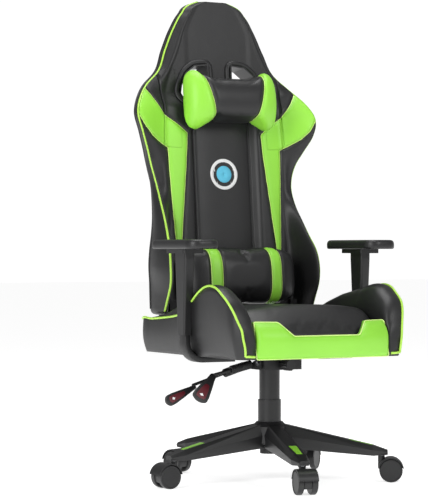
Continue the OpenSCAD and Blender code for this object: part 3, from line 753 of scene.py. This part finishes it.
neck = lofted("neck_pillow_cover", pillow_rings(0.141, 0.084, neck_half_height, square=2.15))
move_vertices(neck, leaning(vertices_of(neck), NECK_Z) + np.array((0, -0.006, 0)))
tidy_mesh(neck)
stuffed(neck, 0.005, 4.0, 0.006)
points = vertices_of(neck)
end_edge = abs(points[:, 0]) - neck_seam(points[:, 2] - NECK_Z)
centre = np.array((0, front_y(NECK_Z) - 0.05, NECK_Z))
inward = centre - points
inward[:, 0] = 0
inward /= np.linalg.norm(inward, axis=1)[:, None] + 1e-9
points = points + inward * (0.0045 * np.exp(-((end_edge / 0.007) ** 2)))[:, None]
move_vertices(neck, points)
keep_number(neck, "lime_edge", end_edge)
tidy_mesh(neck)
neck_leather, shader, seam = two_tone("neck_leather")
neck.data.materials.append(neck_leather)
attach(neck, "neck_pillow")
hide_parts("neck_pillow")


def lumbar_half_height(x):
    return 0.076


lumbar = lofted("lumbar_pillow_cover", pillow_rings(0.171, 0.094, lumbar_half_height, square=3.4))
move_vertices(lumbar, leaning(vertices_of(lumbar), LUMBAR_Z))
tidy_mesh(lumbar)
stuffed(lumbar, 0.005, 4.0, 0.006)
points = vertices_of(lumbar)
stripe_edge = 0.0168 - abs(abs(points[:, 0]) - 0.0909)
centre = np.array((0, front_y(LUMBAR_Z) - 0.055, LUMBAR_Z))
inward = centre - points
inward[:, 0] = 0
inward /= np.linalg.norm(inward, axis=1)[:, None] + 1e-9
points = points + inward * (0.003 * np.exp(-((stripe_edge / 0.005) ** 2)))[:, None]
move_vertices(lumbar, points)
keep_number(lumbar, "lime_edge", stripe_edge)
tidy_mesh(lumbar)
lumbar_leather, shader, seam = two_tone("lumbar_leather")
lumbar.data.materials.append(lumbar_leather)
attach(lumbar, "lumbar_pillow")
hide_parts("lumbar_pillow")


# ---- Seat: a crowned foam cushion between two side rolls, sewn leather over moulded foam, with a
# lime panel across the front, and a black cloth under it stapled to the frame
CUSHION_HALF = 0.1935
rings = []
for y in np.linspace(-0.262, 0.146, 34):
    t = (y + 0.262) / 0.408
    front = ease((y + 0.262) / 0.10)
    half = CUSHION_HALF - 0.012 * (1 - ease((y + 0.262) / 0.03)) - 0.006 * ease((t - 0.93) / 0.07)
    crown = 0.060 + 0.066 * front**0.75 - 0.007 * t
    crown -= 0.010 * ease((t - 0.93) / 0.07)
    low = SEAT_Z + 0.022
    ring = []
    for x in np.linspace(-half, half, 25):
        u = abs(x) / half
        top = crown - 0.014 * u**2.5 - 0.010 * (u > 0.999)
        ring.append((x, y, SEAT_Z + top))
    for x in np.linspace(half, -half, 13):
        ring.append((x, y, low))
    rings.append(ring)
cushion = lofted("seat_cushion_cover", rings)
tidy_mesh(cushion)
stuffed(cushion, 0.006, 4.0, 0.008)
points = vertices_of(cushion)
points[:, 2] = np.maximum(points[:, 2], SEAT_Z + 0.0135)
points[:, 0] = np.clip(points[:, 0], -0.1965, 0.1965)
move_vertices(cushion, points)
tidy_mesh(cushion)
cushion.data.materials.append(black_leather)
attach(cushion, "seat")
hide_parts("seat_cushion")

# Side rolls: an outer piping line runs up the front corner, over the top and back along the side.
# Each row: place along Y, height of the piping, half width of the roll's outer face at the piping
ROLL_EDGE = np.array([
    (-0.2690, 0.0100, 0.2240), (-0.2705, 0.0300, 0.2263), (-0.2687, 0.0517, 0.2304),
        (-0.2658, 0.0734, 0.2332),
    (-0.2574, 0.0951, 0.2399), (-0.2490, 0.1167, 0.2461), (-0.2344, 0.1383, 0.2521),
        (-0.2065, 0.1596, 0.2551),
    (-0.1800, 0.1745, 0.2568), (-0.1500, 0.1800, 0.2574), (-0.1200, 0.1760, 0.2572),
        (-0.0900, 0.1640, 0.2565),
    (-0.0500, 0.1410, 0.2545), (-0.0120, 0.1180, 0.2520), (0.0250, 0.1045, 0.2500), (0.0600, 0.0990, 0.2490),
    (0.1080, 0.0944, 0.2480), (0.1500, 0.0915, 0.2478), (0.1940, 0.0893, 0.2476), (0.2350, 0.0910, 0.2470),
    (0.2460, 0.0880, 0.2440),
])
# Crest of the roll, inside the piping: place along Y and height
ROLL_CREST = np.array([(-0.28, 0.0), (-0.154, 0.182), (-0.09, 0.176), (-0.012, 0.159), (0.053, 0.139),
    (0.108, 0.1185),
                       (0.16, 0.101), (0.20, 0.095), (0.26, 0.091)])
roll_line = dense_path(ROLL_EDGE, 0.006)
roll_line = np.column_stack((roll_line[:, 2], roll_line[:, 0], roll_line[:, 1] + SEAT_Z))


def roll_section(edge, crest, inner_x):
    """One slice of a side roll: from the underside's outer corner, up the outer face, over the piping and
    down the inner face."""
    x_edge, _, z_edge = edge
    base = SEAT_Z + 0.0015
    height = z_edge - base
    width = x_edge - inner_x
    out = []
    for t in np.linspace(0, 1, 14):
        bulge = 0.006 * math.sin(math.pi * t) * min(1, height / 0.1)
        tuck = 0.010 * (1 - t) ** 3
        lean = (x_edge - min(x_edge, 0.2470)) * (1 - t)
        out.append((x_edge - lean - tuck + bulge * 0.5, t))
    for t in np.linspace(0.08, 1, 18):
        turn = t * math.pi / 2
        rise = max(0.035, (crest + SEAT_Z - z_edge) / height)
        fall = 0.42 * (1 - math.cos(turn)) ** 1.6
        out.append((x_edge - width * math.sin(turn) ** 1.25, 1 + rise * math.sin(2 * turn) ** 0.8 - fall))
    for t in np.linspace(0.2, 1, 6):
        out.append((inner_x, 1 - 0.42 - 0.58 * t))
    return [(x, base + height * max(s, 0)) for x, s in out]


for side, word in ((1, "left"), (-1, "right")):
    rings = []
    # Slices across the roll, one at each place along Y; the front end is rounded by its own slices
    y_places = np.concatenate((np.linspace(-0.2685, -0.255, 8), np.linspace(-0.252, 0.238, 96),
        np.linspace(0.240, 0.2475, 5)))
    start = int(np.argmin(roll_line[:, 1]))
    upper = roll_line[start:]
    for y in y_places:
        z_edge = np.interp(y, upper[:, 1], upper[:, 2])
        x_edge = np.interp(y, upper[:, 1], upper[:, 0])
        inner = 0.1930 + (0.036 * ease((y - 0.138) / 0.02) if y > 0.138 else 0)
        shrink = ease((y + 0.276) / 0.016) ** 0.5 if y < -0.255 else 1
        shrink = min(shrink, (max(0.05, (0.2495 - y) / 0.0095)) ** 0.4 if y > 0.240 else 1)
        crest = np.interp(y, ROLL_CREST[:, 0], ROLL_CREST[:, 1])
        section = roll_section((x_edge - 0.004 * (1 - shrink), y, z_edge), crest,
            inner + 0.006 * (1 - shrink))
        rings.append([(side * x, y, SEAT_Z + 0.0015 + (z - SEAT_Z - 0.0015) * (0.9 + 0.1 * shrink))
            for x, z in section])
    roll = lofted("seat_roll_" + word, rings)
    tidy_mesh(roll)
    roll.data.materials.append(black_leather)
    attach(roll, "seat")
    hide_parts("seat_bolster_" + word)
    corner = [(0.1976, -0.2690, 0.3390), (0.2100, -0.2712, 0.3395), (0.2190, -0.2725, 0.3405)]
    line = np.array(corner + [tuple(p) for p in roll_line])
    line[:, 0] = side * (line[:, 0] + 0.0008)
    line[:, 1] -= 0.001 * (line[:, 1] < -0.2)
    line[:, 2] += 0.0012 * (line[:, 1] > -0.2)
    piping = tube("seat_roll_piping_" + word, dense_path(line, 0.005), 0.003)
    piping.data.materials.append(lime_piping)
    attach(piping, "seat")

# Lime front panel, raised at both ends, with pale piping along its sewn edges
PANEL = np.array([(-0.1926, 0.002), (0.1926, 0.002), (0.1900, 0.093), (0.1270, 0.092), (0.0957, 0.058),
                  (-0.0957, 0.058), (-0.1270, 0.092), (-0.1900, 0.093)])


def panel_front(x, up):
    """Front surface of the panel: bowed out in the middle and rolled back over its top."""
    bow = 0.0155 * (1 - (x / 0.195) ** 4) * (0.25 + 0.75 * math.sin(math.pi / 2 * min(1, max(0, up) / 0.05)))
    swell = 0.003 * math.sin(math.pi * min(1, max(0, up) / 0.09))
    roll_back = 0.0205 * max(0, (up - 0.05) / 0.04) ** 2
    return -0.2705 - bow - swell + roll_back


def filled_panel(name, outline, step, thickness, surface):
    """A padded panel over a 2-D outline: a grid of points clipped to the outline, with a rim and a back."""
    work = bmesh.new()
    corners = [work.verts.new((x, 0, z)) for x, z in outline]
    work.faces.new(corners)
    low, high = outline.min(axis=0), outline.max(axis=0)
    for axis, (a, b) in enumerate(zip(low, high)):
        for at in np.arange(a + step, b, step):
            geometry = work.verts[:] + work.edges[:] + work.faces[:]
            normal = (1, 0, 0) if axis == 0 else (0, 0, 1)
            place = (at, 0, 0) if axis == 0 else (0, 0, at)
            bmesh.ops.bisect_plane(work, geom=geometry, dist=1e-6, plane_co=place, plane_no=normal)
    mesh = bpy.data.meshes.new(name)
    work.to_mesh(mesh)
    work.free()
    piece = bpy.data.objects.new(name, mesh)
    scene.collection.objects.link(piece)
    flat = vertices_of(piece)
    inside = edge_distance(flat[:, [0, 2]], outline)
    edge_drop = 0.006 * (1 - np.clip(inside / 0.008, 0, 1)) ** 2
    front = np.array([surface(x, z) for x, _, z in flat]) + edge_drop
    n = len(flat)
    top = np.column_stack((flat[:, 0], front, flat[:, 2] + SEAT_Z))
    bottom = top + np.array((0, thickness, 0))
    faces = [tuple(p.vertices) for p in mesh.polygons]
    rim_edges = {}
    for face in faces:
        for a, b in zip(face, face[1:] + face[:1]):
            rim_edges[(a, b)] = rim_edges.get((b, a), 0) + 1 if (b, a) not in rim_edges else 2
            if (b, a) in rim_edges:
                rim_edges[(b, a)] = 2
    sides = [(a, b, b + n, a + n) for (a, b), count in rim_edges.items() if count == 1]
    faces = faces + [tuple(i + n for i in reversed(face)) for face in faces] + sides
    new = bpy.data.meshes.new(name)
    new.from_pydata([tuple(p) for p in np.vstack((top, bottom))], [], faces)
    piece.data = new
    keep_number(piece, "lime_edge", np.concatenate((inside, inside)))
    tidy_mesh(piece)
    return piece


lime_leather, shader, mottle_and_dip_shade, bump = leather("lime_leather", LIME_LEATHER, LIME_SHADE)
panel_outline = rounded_outline(PANEL, 0.005, steps=4)
front_panel = filled_panel("seat_front_cover", panel_outline, 0.006, 0.010, panel_front)
front_panel.data.materials.append(lime_leather)
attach(front_panel, "seat")
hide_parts("seat_front_panel")
pale_piping, shader, mottle_and_dip_shade, bump = leather("pale_piping", "DDF79A", "CFEF86", roughness=0.35)
edge_line = [(x, panel_front(x, up) + 0.0035, up + SEAT_Z) for x, up in panel_outline]
panel_piping = tube("seat_front_piping", edge_line, 0.0016, sides=6, closed=True)
panel_piping.data.materials.append(pale_piping)
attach(panel_piping, "seat")


# ---- Armrest pads: moulded polyurethane, a flat top with a soft rounded edge all round
pad_plastic, shader = new_material("soft_pad_plastic")
place = add_node(pad_plastic, "ShaderNodeTexCoord")
pebble = add_node(pad_plastic, "ShaderNodeTexNoise", {"Vector": place.outputs["Object"]}, Scale=900, Detail=2)
bump = add_node(pad_plastic, "ShaderNodeBump", {"Height": pebble.outputs["Fac"]}, Strength=0.15,
    Distance=0.0003)
shader.inputs["Base Color"].default_value = linear("1E1E1F")
shader.inputs["Roughness"].default_value = 0.38
pad_plastic.node_tree.links.new(bump.outputs["Normal"], shader.inputs["Normal"])


def stadium(half_x, half_y, corner, count=14):
    """A rounded rectangle's outline as x, y."""
    out = []
    for cx, cy, start in ((1, 1, 0), (-1, 1, 90), (-1, -1, 180), (1, -1, 270)):
        for t in np.linspace(0, 90, count):
            a = math.radians(start + t)
            out.append((cx * (half_x - corner) + corner * math.cos(a),
                cy * (half_y - corner) + corner * math.sin(a)))
    return out


for side, word in ((1, "left"), (-1, "right")):
    low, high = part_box("armrest_pad_" + word)
    middle = (low + high) / 2
    half = (high - low) / 2
    rings = []
    profile = [(0.0, 10), (0.0, 5), (0.0008, 1.8), (0.003, 0.4), (0.0065, 0), (0.013, 0), (0.0175, 0.8),
        (0.0205, 2.4),
               (0.0225, 4.6), (0.0236, 7.5), (0.0240, 12), (0.0240, 20)]
    for up, inset in profile:
        inset *= MM
        rings.append([(middle.x + x, middle.y + y, low.z + up)
                      for x, y in stadium(half.x - inset, half.y - inset, 0.034 - inset)])
    pad = lofted("armrest_cushion_" + word, rings)
    tidy_mesh(pad)
    pad.data.materials.append(pad_plastic)
    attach(pad, "armrest_" + word)
    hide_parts("armrest_pad_" + word)


# ---- Hard parts: glass-filled nylon, black powder coat, plain steel and a glossy lime plastic
def moulded(name, colour, roughness, grain=0.12, scale=420):
    """Moulded or coated surface: one colour with a fine even texture."""
    material, shader = new_material(name)
    place = add_node(material, "ShaderNodeTexCoord")
    noise = add_node(material, "ShaderNodeTexNoise", {"Vector": place.outputs["Object"]}, Scale=scale,
        Detail=3)
    bump = add_node(material, "ShaderNodeBump", {"Height": noise.outputs["Fac"]}, Strength=grain,
        Distance=0.0004)
    shader.inputs["Base Color"].default_value = linear(colour)
    shader.inputs["Roughness"].default_value = roughness
    material.node_tree.links.new(bump.outputs["Normal"], shader.inputs["Normal"])
    return material, shader


FINISHES = {}
FINISHES["nylon"], shader = moulded("black_nylon", "1B1B1C", 0.40)
FINISHES["black_steel"], shader = moulded("powder_coat", "171718", 0.5, grain=0.3, scale=700)
FINISHES["steel"], shader = moulded("plain_steel", "A9ABAE", 0.32, grain=0.05)
shader.inputs["Metallic"].default_value = 1
FINISHES["green_plastic"], shader = moulded("lime_plastic", "97E23A", 0.25, grain=0.02)
FINISHES["white_plastic"], shader = moulded("white_acetal", "E4E4E0", 0.4)
FINISHES["soft_black_plastic"] = pad_plastic
FINISHES["black_leather"] = black_leather
FINISHES["green_leather"] = lime_leather
for part in frame["record"]["subparts"]:
    node = frame["nodes"][part["node"]]
    finish = FINISHES[part["material_slot"]]
    for i in range(len(node.material_slots)):
        node.material_slots[i].material = finish
    if not node.material_slots:
        node.data.materials.append(finish)


# ---- Levers: black coated rods in ribbed rubber sleeves, each ending in a broad moulded paddle with
# a dark red face and a plain arrow. The front one works the gas lift and the rear one the tilt lock
for name in ("height_lever_rod", "tilt_lever_rod"):
    frame["nodes"][name].material_slots[0].material = FINISHES["black_steel"]
paddle_red, shader = moulded("paddle_red", "5A1620", 0.4)
TOWARDS_FRONT = Vector((-0.505, -0.863, 0))


def plate_rings(root, tip, stations, thickness, proud=0.0):
    """Slices of a flat rounded bar from root to tip; stations are (share of length, half width)."""
    along = (tip - root).normalized()
    face = (TOWARDS_FRONT - along * TOWARDS_FRONT.dot(along)).normalized()
    across = along.cross(face)
    length = (tip - root).length
    rings = []
    for share, half in stations:
        bend = 0.010 * (2 * share - 1) ** 2 * 0.6
        middle = root + along * length * share + face * (proud - bend)
        ring = []
        for x, y in stadium(half, thickness / 2, min(half, thickness / 2) * 0.8, count=4):
            ring.append(tuple(middle + across * x + face * y))
        rings.append(ring)
    return rings


for name, body, root, tip, widths in (
    ("height_paddle", "height_lever", Vector((-0.165, -0.002, 0.282)), Vector((-0.213, -0.004, 0.2165)),
        0.020),
    ("tilt_paddle", "tilt_lever", Vector((-0.196, 0.038, 0.250)), Vector((-0.281, 0.038, 0.212)), 0.014),
):
    profile = [(0, 0.30), (0.03, 0.42), (0.2, 0.52), (0.45, 0.78), (0.75, 1.05), (0.88, 1.08),
        (0.94, 0.95), (0.98, 0.62),
               (1.0, 0.35)]
    paddle = lofted(name + "_grip", plate_rings(root, tip, [(s, w * widths) for s, w in profile], 0.009))
    tidy_mesh(paddle)
    paddle.data.materials.append(FINISHES["soft_black_plastic"])
    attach(paddle, body)
    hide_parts(body + "_paddle")
    inset_profile = [(0.40, 0.02), (0.42, 0.30), (0.6, 0.52), (0.80, 0.66), (0.88, 0.60), (0.90, 0.05)]
    inset = lofted(name + "_face", plate_rings(root, tip, [(s, w * widths) for s, w in inset_profile],
        0.002, 0.0048))
    tidy_mesh(inset)
    inset.data.materials.append(paddle_red)
    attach(inset, body)
    arrow_profile = [(0.74, 0.02), (0.79, 0.30), (0.82, 0.02)]
    arrow = lofted(name + "_arrow", plate_rings(root, tip, [(s, w * widths) for s, w in arrow_profile],
        0.0014, 0.0060))
    tidy_mesh(arrow, smooth=False)
    arrow.data.materials.append(white_thread)
    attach(arrow, body)

# Ribbed sleeves: rings of rubber repeated along each rod
rubber, shader = moulded("sleeve_rubber", "1B1B1C", 0.6)


def repeated_ribs(name, rib_major, rib_minor, count, length):
    """A node tree that sets ribs in a row along X from the origin. Inputs: rib size, count and length."""
    tree = bpy.data.node_groups.new(name, "GeometryNodeTree")
    face = tree.interface
    face.new_socket("Geometry", in_out="INPUT", socket_type="NodeSocketGeometry")
    sockets = {}
    for label, kind, value in (("Rib Radius", "NodeSocketFloat", rib_major),
        ("Cord Radius", "NodeSocketFloat", rib_minor),
                               ("Count", "NodeSocketInt", count), ("Length", "NodeSocketFloat", length),
                               ("Finish", "NodeSocketMaterial", None)):
        socket = face.new_socket(label, in_out="INPUT", socket_type=kind)
        if value is not None:
            socket.default_value = value
        sockets[label] = socket.identifier
    face.new_socket("Geometry", in_out="OUTPUT", socket_type="NodeSocketGeometry")
    nodes, links = tree.nodes, tree.links
    entry = nodes.new("NodeGroupInput")
    leave = nodes.new("NodeGroupOutput")
    row = nodes.new("GeometryNodeMeshLine")
    row.mode = "END_POINTS"
    end = nodes.new("ShaderNodeCombineXYZ")
    ring = nodes.new("GeometryNodeCurvePrimitiveCircle")
    ring.inputs["Resolution"].default_value = 24
    cord = nodes.new("GeometryNodeCurvePrimitiveCircle")
    cord.inputs["Resolution"].default_value = 8
    rib = nodes.new("GeometryNodeCurveToMesh")
    turned = nodes.new("GeometryNodeTransform")
    turned.inputs["Rotation"].default_value = (0, math.radians(90), 0)
    set_out = nodes.new("GeometryNodeInstanceOnPoints")
    real = nodes.new("GeometryNodeRealizeInstances")
    finish = nodes.new("GeometryNodeSetMaterial")
    links.new(entry.outputs["Rib Radius"], ring.inputs["Radius"])
    links.new(entry.outputs["Cord Radius"], cord.inputs["Radius"])
    links.new(ring.outputs["Curve"], rib.inputs["Curve"])
    links.new(cord.outputs["Curve"], rib.inputs["Profile Curve"])
    links.new(rib.outputs["Mesh"], turned.inputs["Geometry"])
    links.new(entry.outputs["Count"], row.inputs["Count"])
    links.new(entry.outputs["Length"], end.inputs["X"])
    links.new(end.outputs["Vector"], row.inputs["Offset"])
    links.new(row.outputs["Mesh"], set_out.inputs["Points"])
    links.new(turned.outputs["Geometry"], set_out.inputs["Instance"])
    links.new(set_out.outputs["Instances"], real.inputs["Geometry"])
    links.new(real.outputs["Geometry"], finish.inputs["Geometry"])
    links.new(entry.outputs["Finish"], finish.inputs["Material"])
    links.new(finish.outputs["Geometry"], leave.inputs["Geometry"])
    return tree, sockets


rib_tree, rib_sockets = repeated_ribs("ribbed_sleeve", 0.0095, 0.0026, 12, 0.052)
for name, body, start, fall in (
    ("height_sleeve", "height_lever", Vector((-0.058, 0, 0.3037)), 26 / 118),
    ("tilt_sleeve", "tilt_lever", Vector((-0.058, 0.038, 0.2972)), 48 / 160),
):
    seed_mesh = bpy.data.meshes.new(name)
    maker = bpy.data.objects.new(name + "_maker", seed_mesh)
    scene.collection.objects.link(maker)
    ribs = maker.modifiers.new("ribs", "NODES")
    ribs.node_group = rib_tree
    ribs[rib_sockets["Rib Radius"]] = 0.0085
    ribs[rib_sockets["Cord Radius"]] = 0.0030
    ribs[rib_sockets["Count"]] = 13
    ribs[rib_sockets["Length"]] = 0.056
    ribs[rib_sockets["Finish"]] = rubber
    made = bpy.data.meshes.new_from_object(maker.evaluated_get(bpy.context.evaluated_depsgraph_get()))
    bpy.data.objects.remove(maker)
    direction = Vector((-1, 0, -fall)).normalized()
    made.transform(Matrix.Translation(start) @ direction.to_track_quat("X", "Y").to_matrix().to_4x4())
    sleeve = bpy.data.objects.new(name, made)
    scene.collection.objects.link(sleeve)
    tidy_mesh(sleeve)
    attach(sleeve, body)

# ---- Armrest brackets: a flat steel bar bent round under the seat, in black powder coat
for side, word in ((1, "left"), (-1, "right")):
    low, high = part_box("armrest_bracket_" + word)
    outer_x = side * (max(abs(low.x), abs(high.x)) - 0.008)
    inner_x = side * min(abs(low.x), abs(high.x))
    middle_y = (low.y + high.y) / 2
    bar_z = low.z + 0.008
    bend = 0.042
    path = [(outer_x, middle_y, z) for z in np.linspace(high.z - 0.002, bar_z + bend, 12)]
    for a in np.linspace(0, 90, 12)[1:]:
        c, d = math.cos(math.radians(a)), math.sin(math.radians(a))
        path.append((outer_x - side * bend * (1 - c), middle_y, bar_z + bend * (1 - d)))
    path += [(x, middle_y, bar_z) for x in np.linspace(path[-1][0], inner_x, 10)[1:]]
    rings = []
    path = [Vector(p) for p in path]
    for i, p in enumerate(path):
        along = (path[min(i + 1, len(path) - 1)] - path[max(i - 1, 0)]).normalized()
        across = Vector((0, 1, 0))
        thick = along.cross(across)
        wide = 0.013 + 0.007 * ease((0.42 - p.z) / 0.09)
        rings.append([tuple(p + across * a + thick * b) for a, b in stadium(wide, 0.0078, 0.003, count=3)])
    bracket = lofted("bent_bracket_" + word, rings)
    tidy_mesh(bracket)
    bracket.data.materials.append(FINISHES["black_steel"])
    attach(bracket, "seat")
    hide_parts("armrest_bracket_" + word)


# ---- Pillow strap: black elastic webbing, 25 mm wide, from behind the neck pillow through both
# openings and across the rear of the head. The underside cloth is plain black non-woven
webbing, shader = new_material("elastic_webbing")
place = add_node(webbing, "ShaderNodeTexCoord")
weave = add_node(webbing, "ShaderNodeTexWave", {"Vector": place.outputs["Object"]}, Scale=180, Distortion=0.0,
                 bands_direction="Z")
bump = add_node(webbing, "ShaderNodeBump", {"Height": weave.outputs["Fac"]}, Strength=0.5, Distance=0.0006)
shader.inputs["Base Color"].default_value = linear("1C1C1D")
shader.inputs["Roughness"].default_value = 0.8
webbing.node_tree.links.new(bump.outputs["Normal"], shader.inputs["Normal"])

STRAP_Z = 1.036
strap_front = front_y(STRAP_Z) - 0.004
rear_y = front_y(STRAP_Z) + (SHELL_T + 4) * MM
route = [(0.080, strap_front - 0.016), (0.070, strap_front - 0.012), (0.062, strap_front + 0.004),
         (0.058, strap_front + 0.030), (0.056, rear_y - 0.012), (0.052, rear_y - 0.002),
         (0.040, rear_y + 0.001), (0.0, rear_y + 0.002)]
route = route + [(-x, y) for x, y in route[-2::-1]]
smooth_route = dense_path([(x, y, 0) for x, y in route], 0.004)
rings = []
for i, p in enumerate(smooth_route):
    ahead = smooth_route[min(i + 1, len(smooth_route) - 1)] - smooth_route[max(i - 1, 0)]
    normal = np.array((ahead[1], -ahead[0])) / np.hypot(ahead[0], ahead[1])
    ring = []
    for up, out in ((-0.0125, -0.0007), (0.0125, -0.0007), (0.0125, 0.0007), (-0.0125, 0.0007)):
        ring.append((p[0] + normal[0] * out, p[1] + normal[1] * out + up * LEAN, STRAP_Z + up))
    rings.append(ring)
strap = lofted("neck_pillow_strap", rings)
tidy_mesh(strap, smooth=False)
strap.data.materials.append(webbing)
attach(strap, "back")

under_rings = []
for y in (-0.250, 0.225):
    under_rings.append([(x, y, z) for x, z in ((-0.185, SEAT_Z - 0.0004), (0.185, SEAT_Z - 0.0004),
                                               (0.185, SEAT_Z + 0.0006), (-0.185, SEAT_Z + 0.0006))])
under_cloth = lofted("underside_cloth", under_rings)
tidy_mesh(under_cloth, smooth=False)
under_cloth.data.materials.append(webbing)
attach(under_cloth, "seat")


# ---- Stitching: short grey threads sewn beside the two seams of the centre panel
thread, shader = new_material("thread")
shader.inputs["Base Color"].default_value = linear("4A4A4C")
shader.inputs["Roughness"].default_value = 0.6


def stitch_tree():
    """A node tree that lays stitches along a curve. Inputs: pitch, stitch length, thread radius, finish."""
    tree = bpy.data.node_groups.new("stitch_row", "GeometryNodeTree")
    face = tree.interface
    face.new_socket("Geometry", in_out="INPUT", socket_type="NodeSocketGeometry")
    sockets = {}
    for label, kind, value in (
        ("Pitch", "NodeSocketFloat", 0.005),
        ("Stitch Length", "NodeSocketFloat", 0.0032),
        ("Thread Radius", "NodeSocketFloat", 0.0005),
        ("Finish", "NodeSocketMaterial", None),
    ):
        socket = face.new_socket(label, in_out="INPUT", socket_type=kind)
        if value is not None:
            socket.default_value = value
        sockets[label] = socket.identifier
    face.new_socket("Geometry", in_out="OUTPUT", socket_type="NodeSocketGeometry")
    nodes, links = tree.nodes, tree.links
    entry = nodes.new("NodeGroupInput")
    leave = nodes.new("NodeGroupOutput")
    curve = nodes.new("GeometryNodeMeshToCurve")
    points = nodes.new("GeometryNodeCurveToPoints")
    points.mode = "LENGTH"
    stitch = nodes.new("GeometryNodeMeshCylinder")
    stitch.inputs["Vertices"].default_value = 6
    lay = nodes.new("GeometryNodeInstanceOnPoints")
    turn = nodes.new("FunctionNodeAlignEulerToVector")
    turn.axis = "Z"
    real = nodes.new("GeometryNodeRealizeInstances")
    finish = nodes.new("GeometryNodeSetMaterial")
    links.new(entry.outputs["Geometry"], curve.inputs["Mesh"])
    links.new(curve.outputs["Curve"], points.inputs["Curve"])
    links.new(entry.outputs["Pitch"], points.inputs["Length"])
    links.new(entry.outputs["Thread Radius"], stitch.inputs["Radius"])
    links.new(entry.outputs["Stitch Length"], stitch.inputs["Depth"])
    links.new(points.outputs["Points"], lay.inputs["Points"])
    links.new(points.outputs["Tangent"], turn.inputs["Vector"])
    links.new(turn.outputs["Rotation"], lay.inputs["Rotation"])
    links.new(stitch.outputs["Mesh"], lay.inputs["Instance"])
    links.new(lay.outputs["Instances"], real.inputs["Geometry"])
    links.new(real.outputs["Geometry"], finish.inputs["Geometry"])
    links.new(entry.outputs["Finish"], finish.inputs["Material"])
    links.new(finish.outputs["Geometry"], leave.inputs["Geometry"])
    return tree, sockets


stitch_nodes, stitch_sockets = stitch_tree()


def stitched(name, paths, body, pitch=0.005):
    """One mesh of stitches along every path."""
    points = []
    edges = []
    for path in paths:
        start = len(points)
        points += [tuple(p) for p in path]
        edges += [(start + i, start + i + 1) for i in range(len(path) - 1)]
    mesh = bpy.data.meshes.new(name + "_line")
    mesh.from_pydata(points, edges, [])
    maker = bpy.data.objects.new(name + "_maker", mesh)
    scene.collection.objects.link(maker)
    sewing = maker.modifiers.new("sewing", "NODES")
    sewing.node_group = stitch_nodes
    sewing[stitch_sockets["Pitch"]] = pitch
    sewing[stitch_sockets["Finish"]] = thread
    made = bpy.data.meshes.new_from_object(maker.evaluated_get(bpy.context.evaluated_depsgraph_get()))
    bpy.data.objects.remove(maker)
    piece = bpy.data.objects.new(name, made)
    scene.collection.objects.link(piece)
    tidy_mesh(piece)
    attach(piece, body)
    return piece


panel_rows = []
for side in (1, -1):
    # 4 mm inside the centre panel's seam, from just over the lumbar pillow to the neck pillow
    seam_x = side * (CENTRE_HALF - 6) * MM
    panel_rows.append([(seam_x, panel_y(seam_x, z) - 0.0003, z) for z in np.arange(0.47, 0.96, 0.004)])
stitched("panel_stitches", panel_rows, "back")
